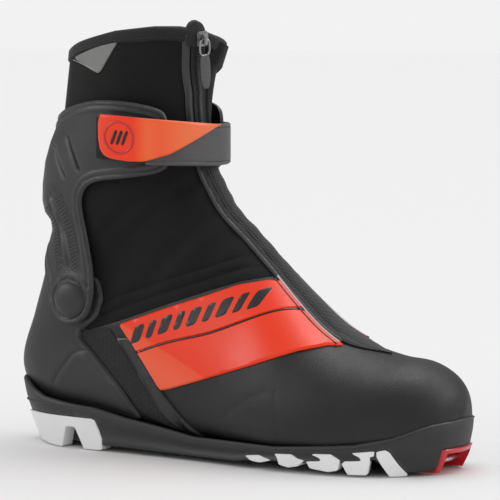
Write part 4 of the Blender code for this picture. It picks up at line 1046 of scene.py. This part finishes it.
def add_collar():
    """Rim binding with its stitches, the band under it and the reflective triangle."""
    profile = [(4.6, 0.25, 0), (4.5, 0.9, 0), (3.9, 1.15, 0), (2.4, 1.3, 0), (0.8, 1.35, 0),
               (0, 1.2, 0.9), (0, 0.3, 1.9), (0, -1.0, 2.2), (0, -2.4, 1.7), (0, -3.2, 0.6),
               (2, -3.4, 0), (4.5, -3.1, 0), (5, -1.8, 0), (5, -0.1, 0)]
    rim = ring_sweep("collar_binding", profile, "cuff", LOOK["binding"])
    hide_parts("collar_rim")
    band = form_grid(17.05, 17.92, 0.05, -78, 6, 2.0)
    band.solid("collar_band", on_form,
               lambda at: 0.5 + 2.0 * ease(at[:, 0], 17.02, 17.14) * ease(-at[:, 1], -6, 6)
               * (1 - ease(-at[:, 1], 60, 78)), 0.2, "cuff", LOOK["shell"])
    turn = np.linspace(-180, 180, 240)
    path = collar_line(turn, 3.7, 1.15)
    stitches("collar_stitches", path, "cuff", LOOK["thread"], 3.0, 2.0, 0.22)
    shape = np.array([(-99.9, 235.6), (-60.8, 247.2), (-75.2, 226)])
    patch_outline = rounded(shape, 2, share=0.06)
    field = outline_field(on_form, patch_outline)
    patch = form_grid(16.4, 17.96, 0.04, 72, 138, 1.2)
    patch.split(field, 0.0, keep=1).split(field, 0.3)
    piece = patch.solid("reflective_triangle", on_form,
                        lambda at: 0.45 + 0.35 * ease(field(at), -0.1, 0.3), 0.05, "cuff",
                        LOOK["reflective"])
    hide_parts("reflective_patch")
    stitches("reflective_stitches", side_path(shape[[0, 2]], 1, 1.0, 1.0), "cuff",
             LOOK["light_mark"], 1.6, 0.9, 0.25)


def zip_angle(u):
    """Angle of the zip at a station."""
    return np.interp(u, (14, 15, ZIP_LOW_U, ZIP_TOP_U), (6.5, 7.5, ZIP_LOW_ANGLE, ZIP_TOP_ANGLE))


def zip_point(u, across, offset):
    """Point beside the zip, across in millimetres to the lateral side."""
    at = np.stack([u, zip_angle(u) + across * 1.9 + 0 * u], -1)
    return on_form(at, offset)


def zip_band(name, first, last, low, high, inner, outer, look):
    """Strip along the zip between two distances from its line."""
    patch = Patch(np.linspace(first, last, 50), np.linspace(low, high, 9))

    def place(at, offset):
        return zip_point(at[:, 0], at[:, 1], offset)
    return patch.solid(name, place, outer, inner, "cuff", look)


def add_zip():
    """Zip tape, two rows of teeth, the welt beside them and the garage on top."""
    tape = zip_band("zip_tape", 14.2, 17.9, -3.6, 3.6, 0.3,
                    lambda at: 0.75 + 0.25 * bump(np.abs(at[:, 1]) - 2.6, 0.7), LOOK["binding"])
    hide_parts("zipper_tape")
    zip_band("zip_welt", 13.4, 17.86, 4.2, 7.6, 0.2,
             lambda at: 0.4 + 1.1 * bump(at[:, 1] - 5.7, 1.9), LOOK["piping"])
    zip_band("zip_guard", 13.4, 17.86, -7.4, -4.0, 0.2,
             lambda at: 0.4 + 1.0 * bump(at[:, 1] + 5.6, 1.8), LOOK["shell"])
    parts = []
    for k, u in enumerate(np.linspace(14.25, 17.74, 92)):
        side = 1 if k % 2 else -1
        middle = zip_point(np.array([u]), side * 0.35, 1.15)[0]
        ahead = zip_point(np.array([u + 0.02]), side * 0.35, 1.15)[0] - middle
        out = form_normal(np.array([[u, float(zip_angle(u))]]))[0]
        across = np.cross(ahead, out)
        axes = np.stack([across / np.linalg.norm(across), ahead / np.linalg.norm(ahead), out])
        size = np.array([1.15, 0.34, 0.5])
        signs = np.array([(x, y, z) for z in (-1, 1) for y in (-1, 1) for x in (-1, 1)], float)
        signs[4:] *= (0.8, 0.7, 1.0)
        parts.append((middle + (signs * size) @ axes, BOX_FACES))
    teeth = new_piece("zip_teeth", *join_parts(parts), "cuff", LOOK["piping"], 30)
    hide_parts("zipper_teeth")
    add_garage()


def add_garage():
    """Folded fabric tab that stands over the zip's top end."""
    top = np.array([ZIP_TOP_U])
    foot = zip_point(top - 0.35, 0.0, 0.0)[0]
    out = form_normal(np.array([[17.8, 22.0]]))[0]
    side = np.cross(out, (0, 0, 1))
    side /= np.linalg.norm(side)
    rows, cols = 14, 17
    grid = []
    for t in np.linspace(0, 1, rows):
        for s in np.linspace(-1, 1, cols):
            half = 6.4 * math.sqrt(max(0.0, 1 - max(0.0, t - 0.45) ** 2 / 0.55 ** 2)) + 0.15
            grid.append(foot + side * (s * half + 2.2) + np.array([0, 0, 1.0]) * (t * 15.4)
                        + out * (1.7 + 1.9 * bump(s, 1.3) * (1 - 0.6 * t)))
    grid = np.array(grid)
    back = grid - out * 3.0
    k = np.arange(rows * cols).reshape(rows, cols)
    quads = grid_faces(rows, cols)
    border = list(k[0]) + list(k[1:, -1]) + list(k[-1, -2::-1]) + list(k[-2:0:-1, 0])
    walls = [[i, j, j + rows * cols, i + rows * cols]
             for i, j in zip(border, border[1:] + border[:1])]
    faces = quads.tolist() + (quads + rows * cols)[:, ::-1].tolist() + walls
    tab = new_piece("zip_garage", np.concatenate([grid, back]), faces, "cuff",
                    LOOK["tongue"], 70)
    soften(tab, 1)


def soften(piece, levels):
    """Subdivision surface, applied."""
    smooth = piece.modifiers.new("smooth", "SUBSURF")
    smooth.levels = smooth.render_levels = levels
    apply_modifiers(piece)


def apply_modifiers(piece):
    """Replace a piece's mesh with what its modifiers make."""
    bpy.context.view_layer.update()
    seen = piece.evaluated_get(bpy.context.evaluated_depsgraph_get())
    mesh = bpy.data.meshes.new_from_object(seen)
    piece.modifiers.clear()
    piece.data = mesh
    mesh.shade_smooth()
    mesh.set_sharp_from_angle(angle=math.radians(50))


def zip_axes():
    """Directions across, down and out of the form at the slider."""
    out = form_normal(np.array([[ZIP_TOP_U - 0.12, zip_angle(ZIP_TOP_U - 0.12)]]))[0]
    joint = next(j for j in frame["joints"] if j["name"] == "zip_slide")
    down = np.array(joint["axis"], float)
    out = out - down * (out @ down)
    out /= np.linalg.norm(out)
    return np.cross(down, out), down, out


def add_pull():
    """Tapered rubber tab on the slider's wire, with grip ribs."""
    joint = next(j for j in frame["joints"] if j["name"] == "pull_hinge")
    pivot = np.array(joint["pos_m"], float) / MM
    across, down, out = zip_axes()
    widths = ((9.6, 2.1), (10.6, 2.7), (14, 3.1), (20, 3.1), (24.5, 2.9), (28, 2.1), (29.3, 1.4))
    rows = along(np.array(widths), 0.6)
    turn = np.linspace(0, 2 * math.pi, 20, endpoint=False)
    corners = []
    for reach, half in rows:
        rib = 0.18 * math.cos((reach - 12) * 2.6) if 13 < reach < 26 else 0.0
        thick = 1.05 + rib
        for a in turn:
            c, s = math.cos(a), math.sin(a)
            corners.append(pivot + across * half * math.copysign(abs(c) ** 0.5, c)
                           + out * (thick * math.copysign(abs(s) ** 0.7, s)
                                    + 0.075 * (reach - 9.6)) + down * reach)
    faces = ring_faces(len(rows), len(turn))
    piece = new_piece("pull_grip", np.array(corners), faces, "pull", LOOK["tab"], 50)
    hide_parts("pull_tab")


# Cuff and strap

def add_cuff():
    """Moulded cuff with rolled rims, slashes, a ridge and studded strips on its arms."""
    outline = outline_field(cuff_point, rounded(CUFF_OUTLINE, 3))
    slashes = [line_field(cuff_point, line) for line in np.array(CUFF_SLASHES)]
    ridge = line_field(cuff_point, rounded(CUFF_RIDGE, 2, False))
    hub = lambda at: np.hypot(*(cuff_point(at, 0.0)[:, [0, 2]] - PIVOT).T)
    heights = np.arange(72, 214.1, 1.5)
    turns = np.concatenate([np.linspace(28, 60, 24), np.linspace(61.5, 298.5, 159),
                            np.linspace(300, 332, 24)])
    patch = Patch(heights, turns)
    patch.split(outline, 0.0, keep=1).split(outline, 0.5, 1.2, 2.6, 3.3, 5.6, 6.6)
    for slash in slashes:
        patch.split(slash, -0.8, 0.0, 0.8)
    patch.split(ridge, -1.6, 0.0, 1.6)
    patch.split(hub, 6.3, keep=1).split(hub, 11.3, 12.2, 15.0, 16.0)

    def fade(at):
        """Rims and marks are on the sides and back, and fade near the hub."""
        return ease(hub(at), 15, 19)

    def outer(at):
        gap, turn = outline(at), at[:, 1]
        lift = CUFF_WALL - 1.3 * (1 - ease(gap, -0.3, 1.3)) - 0.5 * bump(gap - 2.95, 0.9)
        lift -= 0.45 * ease(gap, 5.4, 6.8) * fade(at)
        for slash in slashes:
            lift -= 1.5 * bump(slash(at), 1.5)
        lift += 1.3 * bump(ridge(at), 2.1) - 0.5 * bump(np.abs(ridge(at)) - 3.0, 1.0)
        near = hub(at)
        lift += 0.55 * (1 - ease(near, 15.0, 16.2)) - 0.9 * bump(near - 11.8, 1.0)
        back = bump(turn - 180, 26) * ease(at[:, 0], 128, 140)
        return lift + 0.5 * back

    def studs(at):
        """Two strips beside the arm's ridge carry small studs; the finish darkens them as painted
        shade between the studs.
        """
        gap = ridge(at)
        strip = bump(np.abs(gap) - 6.9, 4.2) > 0.25
        return strip * ease(outline(at), 3.5, 4.5) * (hub(at) > 17)
    piece = patch.solid("cuff_shell", cuff_point, outer, 0.0, "cuff", LOOK["cuff"], paint=studs)
    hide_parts("cuff")


def cuff_place(x, z, side):
    """Height and turn of the cuff's point with this side-view position, behind its middle."""
    heights, backs, powers = np.array(CUFF_LEVELS).T
    back, power = np.interp(z, heights, backs), np.interp(z, heights, powers)
    share = np.clip((x - CUFF_MIDDLE_X) / (back - CUFF_MIDDLE_X), 0, 1)
    lean = np.degrees(np.arcsin(share ** (power / 2)))
    return np.stack([z, np.where(side > 0, 90 + lean, 270 - lean)], -1)


def add_studs():
    """Small moulded studs in two strips beside the ridge of each arm."""
    line = along(rounded(CUFF_RIDGE, 2, False), 2.1)[1:-1]
    ahead = np.gradient(line, axis=0)
    ahead /= np.linalg.norm(ahead, axis=1, keepdims=True)
    across = np.stack([-ahead[:, 1], ahead[:, 0]], -1)
    ring = circle(6)
    shape = [(0.0, 0.75), (0.55, 0.65), (0.85, -0.15)]
    for side, word in SIDES:
        parts = []
        for column in (-8.6, -6.7, -4.8, 4.8, 6.7, 8.6, 10.5):
            for spot in line + across * column:
                if np.hypot(*(spot - PIVOT)) < STUD_FREE_RADIUS:
                    continue
                spots = np.concatenate([[spot]] + [spot + ring * r for r, _ in shape[1:]])
                lift = np.repeat([h for _, h in shape], (1, 6, 6)) + CUFF_WALL - 0.4
                places = cuff_place(spots[:, 0], spots[:, 1], side)
                corners = cuff_point(places, lift)
                faces = [[0, 1 + k, 1 + (k + 1) % 6] for k in range(6)]
                faces += [[1 + k, 7 + k, 7 + (k + 1) % 6, 1 + (k + 1) % 6] for k in range(6)]
                faces += [[12 - k for k in range(6)]]
                parts.append((corners, faces))
        new_piece("arm_studs_" + word, *join_parts(parts), "cuff", LOOK["cuff"], 60)


def turned_piece(name, profile, side, look):
    """Turned piece on the pivot axis from (radius, distance from the middle plane)."""
    c, s = circle(64).T
    rows = [np.stack([PIVOT[0] + radius * c, 0 * c - side * height, PIVOT[1] + radius * s], -1)
            for radius, height in profile]
    return ring_body(name, rows, look)


def add_caps():
    """Domed cap of the cuff pivot on each side."""
    face = CUFF_HALF_WIDTH + CUFF_WALL
    profile = [(0.4, face + 3.5), (2.5, face + 3.45), (5.0, face + 3.15), (7.2, face + 2.65),
               (8.8, face + 2.05), (9.6, face + 1.55), (10.2, face + 1.0), (10.55, face + 0.6),
               (10.6, face + 0.3), (0.4, face + 0.3)]
    for side, word in SIDES:
        inward = CUFF_NARROWING * (side > 0)
        low = [(radius * 0.96, height - inward) for radius, height in profile]
        cap = turned_piece("pivot_dome_" + word, low, side, LOOK["cuff"])
        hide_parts("pivot_cap_" + word)


def add_strap():
    """Strap with its sewn edges and pin loop, and the moulded pull on its end."""
    cover = pull_field()
    patch = Patch(np.linspace(-104, 80, 150), np.linspace(0, 1, 23))
    patch.split(lambda at: np.maximum(cover(at) - 0.8, at[:, 0] + 62), 0.0, keep=1)
    edge = lambda at: STRAP_WIDTH * np.minimum(at[:, 1], 1 - at[:, 1])
    patch.split(edge, 0.4, 1.0, 2.2, 2.9)

    def outer(at):
        gap = edge(at)
        return STRAP_WALL - 1.0 * (1 - ease(gap, -0.2, 1.1)) - 0.35 * bump(gap - 2.5, 0.8)
    strap = patch.solid("strap_webbing_band", strap_point, outer,
                        lambda at: 0.5 * (1 - ease(edge(at), 0, 0.8)), "strap", LOOK["strap"])
    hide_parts("strap_band")
    hooks = Patch(np.linspace(-102, -80, 20), np.linspace(0.08, 0.92, 12))
    hooks = hooks.solid("hook_patch", strap_point, -0.4, -1.9, "cuff", LOOK["lining"])
    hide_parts("hook_pad")
    c, s = circle(32).T
    x, y = STRAP_PIN
    loops = [(3.6, 172.3), (3.6, 195.7), (2.0, 195.7), (2.0, 172.3)]
    corners = np.concatenate([np.stack([x + r * c, y + r * s, 0 * c + z], -1) for r, z in loops])
    new_piece("strap_loop", corners, ring_faces(len(loops), len(c), True), "strap",
              LOOK["strap"], 35)
    for share, word in ((0.097, "low"), (0.903, "top")):
        turns = np.linspace(-12, 74, 200)
        path = strap_point(np.stack([turns, 0 * turns + share], -1), STRAP_WALL - 0.25)
        stitches("strap_stitches_" + word, path, "strap", LOOK["thread"], 2.6, 1.8, 0.24)
    add_strap_pull()


def add_strap_pull():
    """Orange pull with a rolled edge, and a plain ring with three bars on it."""
    field = pull_field()
    top = lambda at: (1 - at[:, 1]) * 27.0 + 0.3
    patch = Patch(np.linspace(-100, 6, 116), np.linspace(-0.04, 1.0, 32))
    patch.split(field, 0.0, keep=1).split(field, 0.5, 1.2)

    def outer(at):
        gap = np.minimum(field(at), top(at))
        return STRAP_WALL + 0.7 + 1.3 * ease(gap, -0.5, 1.3)
    pull = patch.solid("strap_pull_grip", strap_point, outer, STRAP_WALL + 0.15, "strap",
                       LOOK["pull"])
    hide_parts("strap_pull")
    ring = (-80.5, 0.55) + circle(60) * (10.0, 0.33)
    height = STRAP_WALL + 1.9
    new_piece("pull_badge_ring", *tube(strap_point(ring, height), 0.75, 8, closed=True),
              "strap", LOOK["red_mark"])
    parts = []
    for shift in (-3.9, 0.0, 3.9):
        line = np.array([[shift - 82.3, 0.40], [shift - 78.7, 0.70]])
        line = strap_point(line[0] + (line[1] - line[0]) * np.linspace(0, 1, 9)[:, None], height)
        parts.append(tube(line, 1.0, 8, taper=0.5))
    new_piece("pull_badge_bars", *join_parts(parts), "strap", LOOK["mark"])


def pull_field():
    """Distance inside the pull's outline, in about millimetres on the strap."""
    scale = np.array([0.85, STRAP_WIDTH])

    def flat(at, _):
        return np.stack([at[:, 0] * scale[0], 0 * at[:, 0], at[:, 1] * scale[1]], -1)
    return outline_field(flat, rounded(PULL_OUTLINE, 2, share=0.15) * scale)


def add_cuff_padding():
    """Soft pad inside the back of the cuff, swollen by its filling."""
    sector = outline_field(on_form, np.array(
        [(-98.5, 143), (-98.5, 201), (-110, 202), (-122, 197), (-170, 188), (-170, 143),
         (-140, 130), (-128, 128), (-118, 130), (-106, 137)], float))
    patch = form_grid(13.0, 17.6, 0.12, 92, 268, 3.0)
    patch.split(sector, 0.3, keep=1).split(sector, 1.2, 2.6)

    def swell(at):
        quilt = bump(np.mod(at[:, 1] + 11, 22) - 11, 3.2)
        return ease(sector(at), -1.0, 4.5) * (1 - 0.55 * quilt)
    piece = patch.solid("cuff_pad", on_form, -2.4, lambda at: -3.4 - 3.4 * swell(at), "cuff",
                        LOOK["lining"])
    swell_pad(piece)
    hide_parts("cuff_padding")


def swell_pad(piece):
    """Inflate a closed pad as cloth, no point further than PAD_SWELL, and smooth it."""
    scene = bpy.context.scene
    body = piece.copy()
    body.data = piece.data.copy()
    show(body)
    remesh = body.modifiers.new("even", "REMESH")
    remesh.mode, remesh.voxel_size = "VOXEL", PAD_VOXEL
    apply_modifiers(body)
    start = np.array([v.co for v in body.data.vertices])
    cloth = body.modifiers.new("fill", "CLOTH")
    cloth.settings.use_pressure = True
    cloth.settings.uniform_pressure_force = 4.0
    cloth.settings.effector_weights.gravity = 0.0
    cloth.point_cache.frame_start, cloth.point_cache.frame_end = 1, PAD_FRAMES
    for number in range(1, PAD_FRAMES + 1):
        scene.frame_set(number)
    apply_modifiers(body)
    scene.frame_set(1)
    move = np.array([v.co for v in body.data.vertices]) - start
    far = np.linalg.norm(move, axis=1, keepdims=True) + 1e-12
    end = start + move * np.minimum(1.0, PAD_SWELL / far)
    body.data.vertices.foreach_set("co", end.ravel())
    look = list(piece.data.materials)
    piece.data = body.data
    piece.data.materials.clear()
    for made in look:
        piece.data.materials.append(made)
    remove(body)
    piece.data.shade_smooth()


# Sole

def sole_outline():
    """Closely spaced sole outline with its outward directions."""
    points = np.array(SOLE_PLAN, float)
    before, after, next_after = (np.roll(points, k, axis=0) for k in (1, -1, -2))
    rows = [between(before, points, after, next_after, t)
            for t in np.arange(SOLE_STEPS) / SOLE_STEPS]
    line = np.stack(rows, 1).reshape(-1, 2)
    ahead = np.roll(line, -1, axis=0) - np.roll(line, 1, axis=0)
    ahead /= np.linalg.norm(ahead, axis=1, keepdims=True)
    return line, np.stack([-ahead[:, 1], ahead[:, 0]], -1)


SOLE_LINE, SOLE_NORMAL = sole_outline()


def level(line, x):
    """Height of a side-view line at x."""
    places, heights = np.array(line, float)[::-1].T
    if places[0] > places[-1]:
        places, heights = places[::-1], heights[::-1]
    return np.interp(x, places, heights)


def sole_lean(x, z):
    """How far the side wall stands out at a height: it tucks in under the heel and the toe."""
    heel, toe = ease(-x, 95, 138), ease(x, 112, 146)
    return (heel * np.interp(z, (0, 19, 25, 42), (-8, -1, 0.6, 3.6))
            + toe * np.interp(z, (0, 8, 15, 30), (-7.5, -3.6, -1.2, 0)))


def sole_wall(at, offset):
    """Points on the sole's side for rows of (place along the outline, height)."""
    count = len(SOLE_LINE)
    k = np.floor(at[:, 0]).astype(int)
    t = (at[:, 0] - k)[:, None]
    point, normal = (table[k % count] * (1 - t) + table[(k + 1) % count] * t
                     for table in (SOLE_LINE, SOLE_NORMAL))
    point = point + normal * (offset + sole_lean(point[:, 0], at[:, 1]))[:, None]
    return np.column_stack([point, at[:, 1]])


def ring_body(name, rows, look):
    """Closed body through rings of equally many points."""
    return new_piece(name, np.concatenate(rows), ring_faces(len(rows), len(rows[0])), "boot",
                     look, 35)


def cut(piece, *tools, how="DIFFERENCE"):
    """Cut a piece with others."""
    for tool in tools:
        step = piece.modifiers.new("cut", "BOOLEAN")
        step.operation, step.solver, step.object = how, "EXACT", tool
    apply_modifiers(piece)


def plain_box(name, low, high):
    """Box between two corners."""
    corners = [(x, y, z) for x in (low[0], high[0]) for y in (low[1], high[1])
               for z in (low[2], high[2])]
    return new_piece(name, corners, BOX_FACES, "boot", LOOK["insert"])


def lug(name, shape, first, last, depth=9.0, proud=0.4):
    """Tread block on the sole's side from a side-view outline."""
    field = outline_field(sole_wall, np.array(shape, float))
    patch = Patch(np.arange(first, last + 0.1, 1.0), np.arange(-0.6, 21, 0.75))
    patch.split(field, 0.0, keep=1).split(field, 0.5)
    return patch.solid(name, sole_wall, lambda at: proud - 0.45 * (1 - ease(field(at), 0, 0.5)),
                       -depth, "boot", LOOK["tread"])


def merge_pieces(name, pieces, look, smooth=35):
    """One piece of several bodies."""
    parts = [(np.array([v.co for v in piece.data.vertices]) / MM,
              [list(f.vertices) for f in piece.data.polygons]) for piece in pieces]
    remove(*pieces)
    return new_piece(name, *join_parts(parts), "boot", look, smooth)


def add_sole(counter):
    """Rubber sole with its lip, the lugs along its edges and the red toe insert."""
    place = np.arange(len(SOLE_LINE), dtype=float)
    x = SOLE_LINE[:, 0]
    top, base, under = (level(line, x) for line in (SOLE_TOP, SOLE_FLOOR, SOLE_UNDER))

    def ring(height, inset):
        return sole_wall(np.stack([place, height + 0 * place], -1), -inset)
    rows = [ring(under, 13), ring(under, 1.2), ring(under + 0.6, 0.3)]
    rows += [ring(under + 0.6 + (top - under - 0.6) * share,
                  0.9 * bump(np.array(share - 0.4), 0.42))
             for share in np.linspace(0.08, 1, 10)]
    rows += [ring(top + rise, inset) for inset, rise in ((0.5, 0.8), (1.6, 1.3), (3.2, 1.0))]
    rows += [ring(np.minimum(base, top - 1), 8), ring(np.minimum(base, top - 1), 13)]
    sole = ring_body("sole", rows, LOOK["sole"])
    half = len(SOLE_LINE) / 2
    sides = {1: (4, half - 4), -1: (half + 4, len(SOLE_LINE) - 4)}
    seats = [lug("seat", HEEL_SEAT, half - 84, half + 84, depth=9.3, proud=3.0),
             plain_box("notch", *NOTCH)]
    for side, word in SIDES:
        blocks = [lug("lug", shape, *sides[side]) for shape in FOREFOOT_LUGS]
        lugs = merge_pieces("forefoot_lugs_" + word, blocks, LOOK["tread"])
        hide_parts("forefoot_tread_" + word)
        cut(sole, lugs)
    heel = lug("heel_lug", HEEL_LUG, half - 84, half + 84)
    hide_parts("heel_tread")
    foot = foot_body()
    cut(sole, *seats, foot, counter)
    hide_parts("outsole")
    remove(*seats, foot)
    seam = sole_wall(np.stack([place, level(SOLE_SEAM, x)], -1), 0.05)
    new_piece("sole_seam", *tube(seam[::3], 0.42, 6, closed=True), "boot", LOOK["piping"])
    add_insert()


def foot_body():
    """Closed foot form, a hair larger than the upper, to cut its place in the sole."""
    turn = np.arange(-180, 180, 4.0)
    rows = [on_form(np.stack([0 * turn + u, turn], -1), 0.35)
            for u in np.concatenate([np.linspace(-0.94, 1, 12), np.linspace(1.2, 14, 65)])]
    return ring_body("foot_body", rows, LOOK["sole"])


def add_insert():
    """Red lining of the toe notch."""
    (x0, y0, _), (_, y1, top) = NOTCH
    shell = plain_box("toe_lining", (x0 + 0.3, y0 + 0.3, 0.9), (160, y1 - 0.3, top - 0.3))
    hollow = plain_box("hollow", (x0 + 3, y0 + 2.9, -5), (170, y1 - 2.9, top - 2.9))
    place = np.arange(len(SOLE_LINE), dtype=float)
    rows = [sole_wall(np.stack([place, 0 * place + z], -1), 0.5) for z in np.linspace(0, 20, 11)]
    edge = ring_body("edge", rows, LOOK["sole"])
    cut(shell, edge, how="INTERSECT")
    cut(shell, hollow, NODES["binding_bar"])
    remove(hollow, edge)
    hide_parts("toe_insert")


# Carried-over nodes

def dress_nodes():
    """Materials and rounded edges for the CAD nodes that stay."""
    plan = {
        "binding_bar": ("steel", 0.2), "shank": ("shank", 0),
        "pivot_bolt_lateral": ("steel", 0.2), "pivot_bolt_medial": ("steel", 0.2),
        "pivot_bush_lateral": ("steel", 0.1), "pivot_bush_medial": ("steel", 0.1),
        "strap_pin": ("steel", 0.2), "strap_anchor": ("cuff", 0.5),
        "zip_slider": ("gunmetal", 0), "pull_loop": ("gunmetal", 0),
    }
    for name, (look, width) in plan.items():
        node = NODES[name]
        node.data.materials.clear()
        node.data.materials.append(LOOK[look][1])
        if not width:
            continue
        weld = node.modifiers.new("weld", "WELD")
        weld.merge_threshold = 0.00001
        edge = node.modifiers.new("edge", "BEVEL")
        edge.width, edge.segments = width * MM, 2
        edge.limit_method, edge.angle_limit = "ANGLE", math.radians(38)
        edge.use_clamp_overlap, edge.harden_normals = True, False


# Camera, light and floor

def add_camera():
    """Long-lens camera a little above the ground, before the lateral side. In metres."""
    azimuth, elevation, distance = math.radians(32.0), math.radians(4.5), 1.8
    target = Vector((0, 0, 0.125))
    back = Vector((math.sin(azimuth) * math.cos(elevation),
                   -math.cos(azimuth) * math.cos(elevation), math.sin(elevation)))
    data = bpy.data.cameras.new("camera")
    data.sensor_width, data.lens = 36.0, 217.7
    data.shift_x, data.shift_y = 0.026, -0.011
    data.clip_start, data.clip_end = 0.05, 50
    camera = show(bpy.data.objects.new("camera", data))
    camera.location = target + back * distance
    camera.rotation_euler = (-back).to_track_quat("-Z", "Y").to_euler()
    bpy.context.scene.camera = camera


def add_light(name, place, target, size, power):
    """Soft rectangular light aimed at a point, in metres."""
    data = bpy.data.lights.new(name, "AREA")
    data.shape, data.size, data.size_y, data.energy = "RECTANGLE", *size, power
    lamp = show(bpy.data.objects.new(name, data))
    lamp.location = place
    lamp.rotation_euler = (Vector(target) - Vector(place)).to_track_quat("-Z", "Y").to_euler()
    lamp.visible_diffuse = False


def add_studio():
    """Pale floor, even surroundings and three soft lights."""
    floor_mesh = bpy.data.meshes.new("floor")
    size = 14.0
    floor_mesh.from_pydata([(-size, -size, -0.0003), (size, -size, -0.0003),
                            (size, size, -0.0003), (-size, size, -0.0003)], [], [(0, 1, 2, 3)])
    floor = show(bpy.data.objects.new("floor", floor_mesh))
    made = bpy.data.materials.new("floor_paint")
    graph = Graph(made)
    graph.feed(graph.nodes["Principled BSDF"], {"Base Color": (0.90, 0.90, 0.90),
                                                "Roughness": 0.9, "Specular IOR Level": 0.1})
    floor_mesh.materials.append(made)
    add_world(0.70, 0.34)
    sun = bpy.data.lights.new("sun", "SUN")
    sun.energy, sun.angle = 0.97, math.radians(60)
    lamp = show(bpy.data.objects.new("sun", sun))
    lamp.rotation_euler = Vector((0.10, 0.34, 1.0)).to_track_quat("Z", "Y").to_euler()
    add_light("key", (-1.3, -1.0, 0.9), (-0.05, 0, 0.12), (0.7, 0.9), 14.0)
    add_light("rim", (1.2, 0.5, 0.8), (0.05, 0, 0.10), (0.7, 0.9), 12.0)
    add_light("top", (0.1, 0.3, 1.3), (0.0, 0, 0.1), (0.9, 0.6), 9.0)
    bpy.context.scene.view_settings.view_transform = "Standard"


def add_world(strength, reflected):
    """Even surroundings: as pale as the floor where seen, and dimmer where reflected."""
    world = bpy.data.worlds.new("studio")
    bpy.context.scene.world = world
    graph = Graph(world)
    ray = graph.add("LightPath", {})
    share = graph.math("MULTIPLY_ADD", ray["Is Camera Ray"], 0.888 - reflected, reflected)
    soft = graph.math("MULTIPLY", ray["Is Diffuse Ray"], strength - reflected)
    graph.feed(graph.nodes["Background"], {"Color": (1.0, 1.0, 1.0),
                                           "Strength": graph.math("ADD", share, soft)})


def build_looks():
    """Make every visible piece, then give the carried-over nodes their looks."""
    add_camera()
    add_studio()
    add_vamp()
    add_liner()
    add_gaiter()
    add_orange_panels()
    add_bars()
    add_side_overlays()
    add_sole(add_counter())
    add_throat()
    add_collar()
    add_zip()
    add_pull()
    add_cuff_padding()
    add_cuff()
    add_studs()
    add_caps()
    add_strap()
    dress_nodes()


build_looks()
